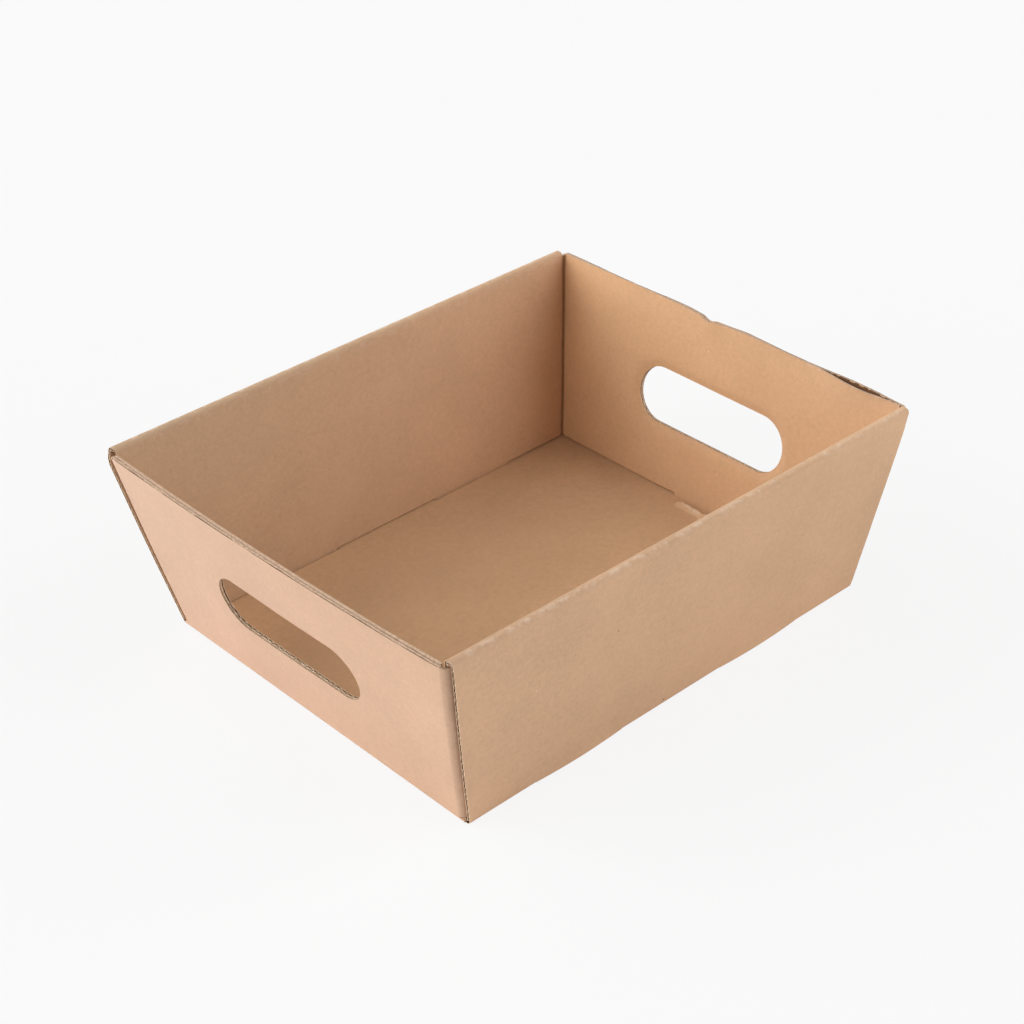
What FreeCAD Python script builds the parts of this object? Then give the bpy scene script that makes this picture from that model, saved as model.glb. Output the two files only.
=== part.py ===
"""Open cardboard tray box with flared walls, folded from one sheet of corrugated board.

Millimetres, +Z up. The origin is the middle of the base's underside, on the table.
The long walls stand at -Y and +Y, the short end walls with their hand slots at -X and +X.
"""

import FreeCAD
import Part
import math
import os

# Board
board = 1.5
layer_gap = 0.15
liner = 0.3
flute_pitch = 3.6
flute_mouth = 2.2
flute_depth = 1.2
wall_flute_margin = 3.5

# Overall size
base_length = 225.0
base_width = 185.0
rim_length = 265.0
rim_width = 215.0
rim_height = 90.0
end_drop = 0.8

# Folds, as inner radii
base_fold_radius = 0.5
rim_crease_radius = 0.4
corner_fold_radius = 1.2
corner_overlap = 9.0
corner_blend = 0.5
corner_foot_inset = 0.4

# Long walls
wall_edge_inset = 3.0
wall_foot_inset = 1.0
inner_foot_gap = 0.2

# Corner flaps, trapped between the layers of the long walls
flap_length = 52.0
flap_foot_height = 2.6
flap_top_gap = 0.35

# Lock tabs of the long walls
tab_centre = 52.0
tab_length = 46.0
tab_taper = 2.0
tab_tip_height = 0.2
slot_play = 0.6
crescent_rise = 0.6
crescent_height = 4.0
tab_root_height = 3.0

# Lock tab of each end wall
end_tab_length = 24.0
end_slot_width = 4.2

# Hand slots
hand_slot_length = 88.0
hand_slot_height = 26.0

# Inner end panels
end_panel_side_gap = 1.2
nick_positions = (-72.5, -43.5, -14.5, 14.5, 43.5, 72.5)
nick_width = 8.0
nick_depth = 2.2
nick_bevel = 0.7

# Derived sizes
side_lean = math.atan2((rim_width - base_width) / 2.0, rim_height)
end_lean = math.atan2((rim_length - base_length) / 2.0, rim_height)
layer_step = board + layer_gap
wall_thickness = 3.0 * board + 2.0 * layer_gap
end_thickness = 2.0 * board + layer_gap
end_height = rim_height - end_drop

# How far construction shapes run past the board
spare = 5.0
reach = base_length


def unit(vector):
    """Direction of a 2D vector."""
    size = math.hypot(vector[0], vector[1])
    return (vector[0] / size, vector[1] / size)


def add(point, vector, amount):
    """Point moved by an amount along a vector."""
    return (point[0] + vector[0] * amount, point[1] + vector[1] * amount)


def bend_at(before, corner, after, radius):
    """Tangent points, centre and turning sense of a bend in the sheet's middle line."""
    way_in = unit((corner[0] - before[0], corner[1] - before[1]))
    way_out = unit((after[0] - corner[0], after[1] - corner[1]))
    cross = way_in[0] * way_out[1] - way_in[1] * way_out[0]
    dot = way_in[0] * way_out[0] + way_in[1] * way_out[1]
    turn = math.atan2(cross, dot)
    side = 1.0 if turn > 0.0 else -1.0
    tangent = radius * math.tan(abs(turn) / 2.0)
    start = add(corner, way_in, -tangent)
    end = add(corner, way_out, tangent)
    left = (-way_in[1], way_in[0])
    centre = add(start, left, side * radius)
    return start, end, centre, side


def sheet_section(line, inner_radii, place):
    """Face of the board's section along a bent middle line.

    place turns a point of the section into a point of the object.
    """
    half = board / 2.0
    bends = []
    for index in range(1, len(line) - 1):
        radius = inner_radii[index - 1] + half
        bends.append(bend_at(line[index - 1], line[index], line[index + 1], radius) + (radius,))
    straights = []
    start = line[0]
    for bend in bends:
        straights.append((start, bend[0]))
        start = bend[1]
    straights.append((start, line[-1]))
    edges = []
    outline_ends = []
    for hand in (1.0, -1.0):
        ends = []
        for index, (first, last) in enumerate(straights):
            heading = section_heading(line, index)
            left = (-heading[1], heading[0])
            p = add(first, left, hand * half)
            q = add(last, left, hand * half)
            if math.dist(p, q) > 1e-6:
                edges.append(Part.makeLine(place(p), place(q)))
            ends.append((p, q))
        for index, bend in enumerate(bends):
            edges.append(bend_arc(ends[index][1], ends[index + 1][0], bend, hand, place))
        outline_ends.append((ends[0][0], ends[-1][1]))
    edges.append(Part.makeLine(place(outline_ends[0][0]), place(outline_ends[1][0])))
    edges.append(Part.makeLine(place(outline_ends[0][1]), place(outline_ends[1][1])))
    wire = Part.Wire(Part.__sortEdges__(edges))
    return Part.Face(wire)


def section_heading(line, index):
    """Direction of one straight stretch of the middle line."""
    return unit((line[index + 1][0] - line[index][0], line[index + 1][1] - line[index][1]))


def bend_arc(start, end, bend, hand, place):
    """Arc of one face of the board around a bend."""
    centre, side, radius = bend[2], bend[3], bend[4]
    own_radius = radius - hand * side * board / 2.0
    chord_middle = ((start[0] + end[0]) / 2.0, (start[1] + end[1]) / 2.0)
    outward = unit((chord_middle[0] - centre[0], chord_middle[1] - centre[1]))
    middle = add(centre, outward, own_radius)
    return Part.Arc(place(start), place(middle), place(end)).toShape()


# Places on the flared walls. Depth is measured into the tray, square to a wall's outer face.
def wall_y(depth, height):
    """Y of the +Y long wall at a depth and a height."""
    return base_width / 2.0 + height * math.tan(side_lean) - depth / math.cos(side_lean)


def end_x(depth, height):
    """X of the +X end wall at a depth and a height."""
    return base_length / 2.0 + height * math.tan(end_lean) - depth / math.cos(end_lean)


def on_end(depth, rise):
    """Point (x, z) of the +X end wall at a depth and a distance up its slope."""
    x = base_length / 2.0 - depth * math.cos(end_lean) + rise * math.sin(end_lean)
    z = depth * math.sin(end_lean) + rise * math.cos(end_lean)
    return (x, z)


def on_wall(depth, rise):
    """Point (y, z) of the +Y long wall at a depth and a distance up its slope."""
    y = base_width / 2.0 - depth * math.cos(side_lean) + rise * math.sin(side_lean)
    z = depth * math.sin(side_lean) + rise * math.cos(side_lean)
    return (y, z)


def across(point):
    """Section point (y, z) as a point of the object at the far -X side."""
    return FreeCAD.Vector(-reach, point[0], point[1])


def along(point):
    """Section point (x, z) as a point of the object at the far -Y side."""
    return FreeCAD.Vector(point[0], -reach, point[1])


def prism(points, place, direction):
    """Solid made by pushing a polygon along a direction."""
    outline = [place(point) for point in points]
    outline.append(outline[0])
    return Part.Face(Part.makePolygon(outline)).extrude(direction)


def mirrored(shape, normal):
    """Shape together with its mirror image through the origin."""
    return shape.fuse(shape.mirror(FreeCAD.Vector(0, 0, 0), normal))


def between_ends(place_x, low, high):
    """Space between +X and -X ends that stand at place_x(height), from one height to another."""
    half_low = place_x(low)
    half_high = place_x(high)
    points = [(-half_low, low), (half_low, low), (half_high, high), (-half_high, high)]
    return prism(points, along, FreeCAD.Vector(0, 2.0 * reach, 0))


def between_walls(depth, low, high):
    """Space between the two long walls, set in by a depth, from one height to another."""
    half_low = wall_y(depth, low)
    half_high = wall_y(depth, high)
    points = [(-half_low, low), (half_low, low), (half_high, high), (-half_high, high)]
    return prism(points, across, FreeCAD.Vector(2.0 * reach, 0, 0))


# Long walls: outer layer, flat band along the rim, inner layer, and the base between them
inner_depth = 2.0 * layer_step + board / 2.0
foot_height = board + inner_foot_gap
band_height = rim_height - board / 2.0
base_middle = board / 2.0


def band_end_x(height):
    """X of the raw +X edge of the band and the inner layer at a height."""
    return end_x(wall_edge_inset, height)


def wall_end_x(height):
    """X of the raw +X edge of the outer layer, which nears the corner towards the base."""
    inset = wall_foot_inset + (wall_edge_inset - wall_foot_inset) * height / rim_height
    return end_x(inset, height)


def make_long_walls():
    """Base with both long walls rolled over at the rim, open at the four corners."""
    half = [
        (wall_y(board / 2.0, base_middle), base_middle),
        (wall_y(board / 2.0, band_height), band_height),
        (wall_y(inner_depth, band_height), band_height),
        (wall_y(inner_depth, foot_height), foot_height),
    ]
    line = [(-y, z) for y, z in reversed(half)] + half
    radii = [rim_crease_radius, rim_crease_radius, base_fold_radius]
    section = sheet_section(line, radii + radii[::-1], across)
    sheet = section.extrude(FreeCAD.Vector(2.0 * reach, 0, 0))
    top = rim_height + spare
    inner = sheet.common(between_ends(band_end_x, -spare, top))
    outer = sheet.cut(between_walls(board + layer_gap / 2.0, -spare, top))
    return inner.fuse(outer.common(between_ends(wall_end_x, -spare, top)))


# End walls: outer layer from the base, cut-scored fold at the top, inner layer
end_top = (end_height - end_thickness * math.sin(end_lean)) / math.cos(end_lean)
nick_root = end_top - nick_depth


def make_end_outer_layers():
    """Base with the outer layers of both end walls, between the corner folds."""
    low = (end_x(board / 2.0, base_middle), base_middle)
    line = [(-low[0], low[1]), low]
    top = on_end(board / 2.0, end_top)
    line = [(-top[0], top[1])] + line + [top]
    section = sheet_section(line, [base_fold_radius, base_fold_radius], along)
    sheet = section.extrude(FreeCAD.Vector(0, 2.0 * reach, 0))
    panel_inset = layer_step + board + corner_fold_radius + corner_blend
    panels = sheet.common(between_walls(panel_inset, -spare, rim_height))
    foot_inset = layer_step + corner_foot_inset
    foot = sheet.common(between_walls(foot_inset, -spare, flap_foot_height))
    return panels.fuse(foot)


def make_end_inner_layer():
    """Inner layer of the +X end wall, hanging from the fold down to the base."""
    depth = layer_step + board / 2.0
    foot = (foot_height - depth * math.sin(end_lean)) / math.cos(end_lean)
    line = [on_end(depth, foot), on_end(depth, end_top)]
    section = sheet_section(line, [], along)
    sheet = section.extrude(FreeCAD.Vector(0, 2.0 * reach, 0))
    side = wall_thickness + end_panel_side_gap
    return sheet.common(between_walls(side, -spare, rim_height + spare))


def end_block(low_depth, high_depth, low_rise, high_rise, start, length):
    """Block in the +X end wall's own directions, from one Y over a length."""
    points = [
        on_end(low_depth, low_rise),
        on_end(high_depth, low_rise),
        on_end(high_depth, high_rise),
        on_end(low_depth, high_rise),
    ]

    def place(point):
        return FreeCAD.Vector(point[0], start, point[1])

    return prism(points, place, FreeCAD.Vector(0, length, 0))


def make_nick(middle):
    """Uncut bit of the top fold of the +X end wall, pressed flat where both layers stay joined."""
    points = [
        on_end(0.0, nick_root),
        on_end(0.0, end_top - nick_bevel),
        on_end(nick_bevel, end_top),
        on_end(end_thickness - nick_bevel, end_top),
        on_end(end_thickness, end_top - nick_bevel),
        on_end(end_thickness, nick_root),
    ]
    start = middle - nick_width / 2.0

    def place(point):
        return FreeCAD.Vector(point[0], start, point[1])

    return prism(points, place, FreeCAD.Vector(0, nick_width, 0))


def make_nick_gap(middle):
    """Space cleared of both raw edges for one uncut bit of the fold."""
    start = middle - nick_width / 2.0
    deep = end_thickness + spare
    return end_block(-spare, deep, nick_root, end_top + spare, start, nick_width)


# Corner flap: a rounded fold at the end wall's side edge, then a flat flap inside the long wall
end_normal = FreeCAD.Vector(math.cos(end_lean), 0, -math.sin(end_lean))
wall_normal = FreeCAD.Vector(0, math.cos(side_lean), -math.sin(side_lean))


def make_corner_flap():
    """Corner fold and flap at +X +Y."""
    rising = end_normal.cross(wall_normal)
    rising.normalize()
    if rising.z < 0.0:
        rising = rising * -1.0
    inward = wall_normal.cross(rising)
    if inward.x > 0.0:
        inward = inward * -1.0
    sideways = end_normal.cross(rising)
    if sideways.y > 0.0:
        sideways = sideways * -1.0
    square = rising.cross(inward)
    origin = FreeCAD.Vector(end_x(0.0, -rim_height), wall_y(layer_step, -rim_height), -rim_height)
    share = -board / 2.0 / (1.0 + end_normal.dot(wall_normal))
    knee = (end_normal + wall_normal) * share

    def flat(vector):
        return (vector.dot(inward), vector.dot(square))

    def place(point):
        return origin + inward * point[0] + square * point[1]

    line = [flat(knee + sideways * corner_overlap), flat(knee), flat(knee + inward * flap_length)]
    section = sheet_section(line, [corner_fold_radius], place)
    sheet = section.extrude(rising * (3.0 * rim_height))
    top = rim_height - board - flap_top_gap
    corner = FreeCAD.Vector(-reach, -reach, flap_foot_height)
    slab = Part.makeBox(2.0 * reach, 2.0 * reach, top - flap_foot_height, corner)
    return sheet.common(slab)


# Lock tabs and slots
def side_block(low_depth, high_depth, low, high, start, length):
    """Block in the +Y long wall between two depths and two heights, from one X."""
    points = [
        (wall_y(low_depth, low), low),
        (wall_y(high_depth, low), low),
        (wall_y(high_depth, high), high),
        (wall_y(low_depth, high), high),
    ]

    def place(point):
        return FreeCAD.Vector(start, point[0], point[1])

    return prism(points, place, FreeCAD.Vector(length, 0, 0))


def make_tab_slot(middle):
    """Slot in the base at the +Y fold for one lock tab."""
    length = tab_length + 2.0 * slot_play
    start = middle - length / 2.0
    deep = wall_thickness + slot_play
    return side_block(board, deep, -spare, board + inner_foot_gap / 2.0, start, length)


def make_crescent(middle):
    """Edge of the slot that stays in line with the outer layer instead of bending."""
    half = tab_length / 2.0 + slot_play
    left = FreeCAD.Vector(middle - half, 0, crescent_rise)
    low = FreeCAD.Vector(middle, 0, 0)
    right = FreeCAD.Vector(middle + half, 0, crescent_rise)
    top_right = FreeCAD.Vector(middle + half, 0, crescent_height)
    top_left = FreeCAD.Vector(middle - half, 0, crescent_height)
    edges = [Part.Arc(left, low, right).toShape()]
    edges.append(Part.makeLine(right, top_right))
    edges.append(Part.makeLine(top_right, top_left))
    edges.append(Part.makeLine(top_left, left))
    face = Part.Face(Part.Wire(edges))
    column = face.extrude(FreeCAD.Vector(0, reach, 0))
    layer = side_block(0.0, board, -spare, crescent_height, middle - half, 2.0 * half)
    return column.common(layer)


def make_tab(middle):
    """Lock tab at the foot of the +Y inner layer, through its slot."""
    half = tab_length / 2.0
    points = [
        (middle - half, foot_height + tab_root_height),
        (middle + half, foot_height + tab_root_height),
        (middle + half, board / 2.0),
        (middle + half - tab_taper, tab_tip_height),
        (middle - half + tab_taper, tab_tip_height),
        (middle - half, board / 2.0),
    ]

    def place(point):
        return FreeCAD.Vector(point[0], 0, point[1])

    column = prism(points, place, FreeCAD.Vector(0, reach, 0))
    start = 2.0 * layer_step
    layer = side_block(start, start + board, -spare, 2.0 * spare, middle - half, tab_length)
    return column.common(layer)


def end_column(low_depth, high_depth, low, high, half_length):
    """Block in the +X end wall between two depths and two heights, centred on Y."""
    points = [
        (end_x(low_depth, low), low),
        (end_x(high_depth, low), low),
        (end_x(high_depth, high), high),
        (end_x(low_depth, high), high),
    ]

    def place(point):
        return FreeCAD.Vector(point[0], -half_length, point[1])

    return prism(points, place, FreeCAD.Vector(0, 2.0 * half_length, 0))


def make_end_tab():
    """Lock tab at the foot of the +X inner layer."""
    half = end_tab_length / 2.0
    top = foot_height + tab_root_height
    return end_column(layer_step, layer_step + board, tab_tip_height, top, half)


def make_end_slot():
    """Slot in the base for the lock tab of the +X end wall."""
    half = end_tab_length / 2.0 + slot_play
    deep = board + end_slot_width
    return end_column(board, deep, -spare, board + inner_foot_gap / 2.0, half)


def make_hand_slot():
    """Rounded slot through both layers of the +X end wall."""
    radius = hand_slot_height / 2.0
    straight = hand_slot_length / 2.0 - radius
    middle = end_top / 2.0

    def place(across_wall, up_wall):
        x, z = on_end(-spare, middle + up_wall)
        return FreeCAD.Vector(x, across_wall, z)

    top_left = place(-straight, radius)
    top_right = place(straight, radius)
    low_right = place(straight, -radius)
    low_left = place(-straight, -radius)
    edges = [
        Part.makeLine(top_left, top_right),
        Part.Arc(top_right, place(straight + radius, 0.0), low_right).toShape(),
        Part.makeLine(low_right, low_left),
        Part.Arc(low_left, place(-straight - radius, 0.0), top_left).toShape(),
    ]
    face = Part.Face(Part.Wire(edges))
    return face.extrude(end_normal * -(end_thickness + 2.0 * spare))


# Open flutes, seen as small triangular mouths at the raw edges of the board
def flute_rows(half_span):
    """Positions of the flutes on both sides of a middle line."""
    count = int(half_span / flute_pitch)
    return [flute_pitch * index for index in range(-count, count + 1)]


def end_flute(layer_depth, wide_depth, middle, low_rise, high_rise):
    """One flute mouth in a layer of the +X end wall, running up the slope."""
    narrow_depth = 2.0 * layer_depth + board - wide_depth
    corners = [
        (wide_depth, middle - flute_mouth / 2.0),
        (wide_depth, middle + flute_mouth / 2.0),
        (narrow_depth, middle),
    ]

    def place(corner):
        x, z = on_end(corner[0], low_rise)
        return FreeCAD.Vector(x, corner[1], z)

    rise = high_rise - low_rise
    upwards = FreeCAD.Vector(math.sin(end_lean), 0, math.cos(end_lean))
    return prism(corners, place, upwards * rise)


def layer_flutes(middle, low_rise, high_rise):
    """The flute mouths of both layers of the +X end wall at one Y."""
    outer = end_flute(0.0, liner, middle, low_rise, high_rise)
    inner = end_flute(layer_step, layer_step + board - liner, middle, low_rise, high_rise)
    return [outer, inner]


def make_hand_slot_flutes():
    """Flute mouths around the hand slot of the +X end wall."""
    radius = hand_slot_height / 2.0
    straight = hand_slot_length / 2.0 - radius
    flutes = []
    centre = end_top / 2.0
    for middle in flute_rows(straight + flute_pitch):
        bow = max(abs(middle) + flute_mouth / 2.0 - straight, 0.0)
        half_rise = math.sqrt(radius ** 2 - bow ** 2) + flute_depth
        flutes += layer_flutes(middle, centre - half_rise, centre + half_rise)
    return fused(flutes)


def make_wall_flutes():
    """Flute mouths along the raw +X edge of the outer layer of the +Y long wall."""
    middle = rim_height / math.cos(side_lean) / 2.0
    flutes = []
    for step in flute_rows(middle - wall_flute_margin):
        rise = middle + step
        edge = wall_end_x(rise * math.cos(side_lean))
        flutes.append(wall_flute(rise, edge - flute_depth))
    return fused(flutes)


def wall_flute(rise, start):
    """One flute mouth in the outer layer of the +Y long wall, running along X from a start."""
    corners = [
        on_wall(liner, rise - flute_mouth / 2.0),
        on_wall(liner, rise + flute_mouth / 2.0),
        on_wall(board - liner, rise),
    ]

    def place(point):
        return FreeCAD.Vector(start, point[0], point[1])

    return prism(corners, place, FreeCAD.Vector(flute_depth + wall_edge_inset, 0, 0))


def fused(shapes):
    """All shapes as one."""
    return shapes[0].fuse(shapes[1:])


def make_tray():
    """The whole folded sheet."""
    x_axis = FreeCAD.Vector(1, 0, 0)
    y_axis = FreeCAD.Vector(0, 1, 0)
    corner = mirrored(mirrored(make_corner_flap(), x_axis), y_axis)
    inner = mirrored(make_end_inner_layer(), x_axis)
    body = fused([make_long_walls(), make_end_outer_layers(), inner, corner])
    gaps = fused([make_nick_gap(y) for y in nick_positions])
    slots = fused([make_tab_slot(-tab_centre), make_tab_slot(tab_centre)])
    cuts = [
        mirrored(gaps, x_axis),
        mirrored(slots, y_axis),
        mirrored(make_end_slot(), x_axis),
        mirrored(make_hand_slot(), x_axis),
    ]
    body = body.cut(fused(cuts))
    nicks = fused([make_nick(y) for y in nick_positions])
    tabs = fused([make_tab(-tab_centre), make_tab(tab_centre)])
    crescents = fused([make_crescent(-tab_centre), make_crescent(tab_centre)])
    added = [
        mirrored(nicks, x_axis),
        mirrored(tabs, y_axis),
        mirrored(crescents, y_axis),
        mirrored(make_end_tab(), x_axis),
    ]
    body = body.fuse(added).removeSplitter()
    flutes = [
        mirrored(make_hand_slot_flutes(), x_axis),
        mirrored(mirrored(make_wall_flutes(), x_axis), y_axis),
    ]
    return body.cut(flutes)


os.makedirs("parts", exist_ok=True)
tray = make_tray()
tray.Solids[0].exportStep("parts/tray.step")
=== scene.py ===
"""Looks of the folded kraft tray: real corrugated board with open flutes at its raw edges."""

import logging
import math
from dataclasses import dataclass, field
from enum import Enum
from typing import Callable

import bmesh
import bpy
import numpy as np
from mathutils import Matrix


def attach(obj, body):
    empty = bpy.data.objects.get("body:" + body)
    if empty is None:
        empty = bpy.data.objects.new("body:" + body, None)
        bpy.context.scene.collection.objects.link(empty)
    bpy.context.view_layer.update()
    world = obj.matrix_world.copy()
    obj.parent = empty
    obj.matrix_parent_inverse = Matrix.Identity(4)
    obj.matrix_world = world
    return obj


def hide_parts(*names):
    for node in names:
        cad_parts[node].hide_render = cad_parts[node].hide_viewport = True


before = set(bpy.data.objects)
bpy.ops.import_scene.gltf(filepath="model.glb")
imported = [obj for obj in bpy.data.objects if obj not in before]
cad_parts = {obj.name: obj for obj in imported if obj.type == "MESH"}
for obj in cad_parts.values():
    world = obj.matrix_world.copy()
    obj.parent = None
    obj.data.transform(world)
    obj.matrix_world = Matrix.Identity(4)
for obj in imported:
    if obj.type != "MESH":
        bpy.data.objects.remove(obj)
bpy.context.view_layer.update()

LOG = logging.getLogger("tray")
MM = 0.001
WELD = 0.002 * MM

Place = Callable[[np.ndarray, np.ndarray, np.ndarray], np.ndarray]


class Stuff(Enum):
    """What a face of the board is made of, and its material slot."""

    LINER = 0
    CUT = 1
    # Material of the flutes, painted dark as the shade inside the open edges.
    FLUTE = 2
    PRESSED = 3


class End(Enum):
    """The end wall that a piece belongs to, by the sign of its X."""

    NEAR = -1
    FAR = 1


class Wall(Enum):
    """The long wall that a piece belongs to, by the sign of its Y."""

    FRONT = -1
    BACK = 1


class Layer(Enum):
    """The outer or the inner layer of a doubled wall."""

    OUTER = 0
    INNER = 1


def smooth(share: np.ndarray) -> np.ndarray:
    """Rise from 0 to 1 with level ends: 3 s squared less 2 s cubed, s held from 0 to 1."""
    held = np.clip(share, 0.0, 1.0)
    return held * held * (3.0 - 2.0 * held)


def hump(place: np.ndarray, centre: float, half_width: float) -> np.ndarray:
    """Round hump of height 1: the squared cosine, which is level at its top and at both feet."""
    share = np.clip((place - centre) / half_width, -1.0, 1.0)
    return np.cos(share * math.pi / 2.0) ** 2


def plateau(place: np.ndarray, centre: float, half_width: float, edge: float) -> np.ndarray:
    """Flat top of height 1 that is half_width wide each way and falls to 0 over an edge."""
    return smooth((half_width - np.abs(place - centre)) / edge + 1.0)


def ripple(u: np.ndarray, v: np.ndarray, seed: int, longest: float) -> np.ndarray:
    """Smooth irregular waves between about -1 and 1.

    The formula is a sum of five sine waves over the plane. Their directions and phases are drawn
    from the seed, each wave is shorter than the last, and its height falls with its length.

    Args:
        u: First coordinate.
        v: Second coordinate.
        seed: Seed of the draw.
        longest: Length of the longest wave.

    Returns:
        The sum of the waves at each place.
    """
    draw = np.random.default_rng(seed)
    total = np.zeros(np.broadcast(u, v).shape)
    for index in range(5):
        angle, phase = draw.uniform(0.0, 2.0 * math.pi, 2)
        length = longest * 0.68 ** index
        along = u * math.cos(angle) + v * math.sin(angle)
        total = total + 0.7 ** index * np.sin(2.0 * math.pi * along / length + phase)
    return total / 2.4


def run_along(line: np.ndarray) -> np.ndarray:
    """Distance of each point of a line from its start."""
    return np.concatenate([[0.0], np.cumsum(np.linalg.norm(np.diff(line, axis=0), axis=1))])


@dataclass(frozen=True)
class Board:
    """Thin corrugated board: two liners glued to a wavy medium.

    Attributes:
        thickness: Whole thickness.
        liner: Thickness of each liner.
        medium: Thickness of the wavy sheet between them.
        pitch: Length of one flute.
        gap: Space between two layers folded onto each other.
        recess: How far in an open edge can be seen into.
    """

    thickness: float = 1.5 * MM
    liner: float = 0.26 * MM
    medium: float = 0.24 * MM
    pitch: float = 3.6 * MM
    gap: float = 0.15 * MM
    recess: float = 3.0 * MM

    @property
    def half(self) -> float:
        """Half of the thickness."""
        return self.thickness / 2.0

    @property
    def step(self) -> float:
        """Depth from one layer to the next."""
        return self.thickness + self.gap

    @property
    def wave(self) -> float:
        """Height of the medium's wave above its middle line."""
        return (self.thickness - 2.0 * self.liner - self.medium) / 2.0

    @property
    def cut_depths(self) -> list[float]:
        """Depths of the lines on a cut edge: outer face, both inner liner faces, inner face."""
        return [0.0, self.liner, self.thickness - self.liner, self.thickness]


@dataclass(frozen=True)
class Profile:
    """Section of a bent board, as its middle line.

    Attributes:
        middle: Points of the middle line.
        normal: Outward direction at each point.
        run: Distance of each point along the line.
        half: Half of the board's thickness.
    """

    middle: np.ndarray
    normal: np.ndarray
    run: np.ndarray
    half: float

    def at(self, run: np.ndarray, depth: np.ndarray) -> tuple[np.ndarray, np.ndarray]:
        """Point of the section: the middle line's point, moved outwards by half less the depth.

        Args:
            run: Distance along the line.
            depth: Depth below the outer face.

        Returns:
            Both coordinates of each point.
        """
        rise = self.half - depth
        across = np.interp(run, self.run, self.middle[:, 0])
        up = np.interp(run, self.run, self.middle[:, 1])
        across = across + rise * np.interp(run, self.run, self.normal[:, 0])
        up = up + rise * np.interp(run, self.run, self.normal[:, 1])
        return across, up


def bent_profile(corners: list, radii: list, half: float, step: float, arc_steps: int) -> Profile:
    """Section that follows straight runs joined by round bends.

    Each bend is an arc about the point that lies its radius plus half the board away from both
    runs. It begins at that radius times the tangent of half the turn before the corner.

    Args:
        corners: Corners of the middle line.
        radii: Inner radius of each bend.
        half: Half of the board's thickness.
        step: Longest piece of a straight run.
        arc_steps: Pieces of each bend.

    Returns:
        The section.
    """
    points = np.asarray(corners, float)
    spans = np.diff(points, axis=0)
    headings = spans / np.linalg.norm(spans, axis=1)[:, None]
    outward = np.stack([headings[:, 1], -headings[:, 0]], 1)
    middles, normals = [], []
    start = points[0]
    for index, heading in enumerate(headings):
        end, turn, radius = points[index + 1], 0.0, 0.0
        if index < len(radii):
            following = headings[index + 1]
            cross = heading[0] * following[1] - heading[1] * following[0]
            turn = math.atan2(cross, heading @ following)
            radius = radii[index] + half
            end = end - heading * radius * math.tan(abs(turn) / 2.0)
        count = max(2, int(np.linalg.norm(end - start) / step) + 2)
        share = np.linspace(0.0, 1.0, count)[:, None]
        middles.append(start + (end - start) * share)
        normals.append(np.repeat(outward[index][None], count, 0))
        if index < len(radii):
            side = math.copysign(1.0, turn)
            centre = end - side * radius * outward[index]
            angle = np.linspace(0.0, turn, arc_steps + 1)[1:-1, None]
            turned = outward[index] * np.cos(angle) + heading * np.sin(angle)
            middles.append(centre + side * radius * turned)
            normals.append(turned)
            start = centre + side * radius * outward[index + 1]
    middle = np.concatenate(middles)
    run = run_along(middle)
    return Profile(middle, np.concatenate(normals), run, half)


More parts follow.
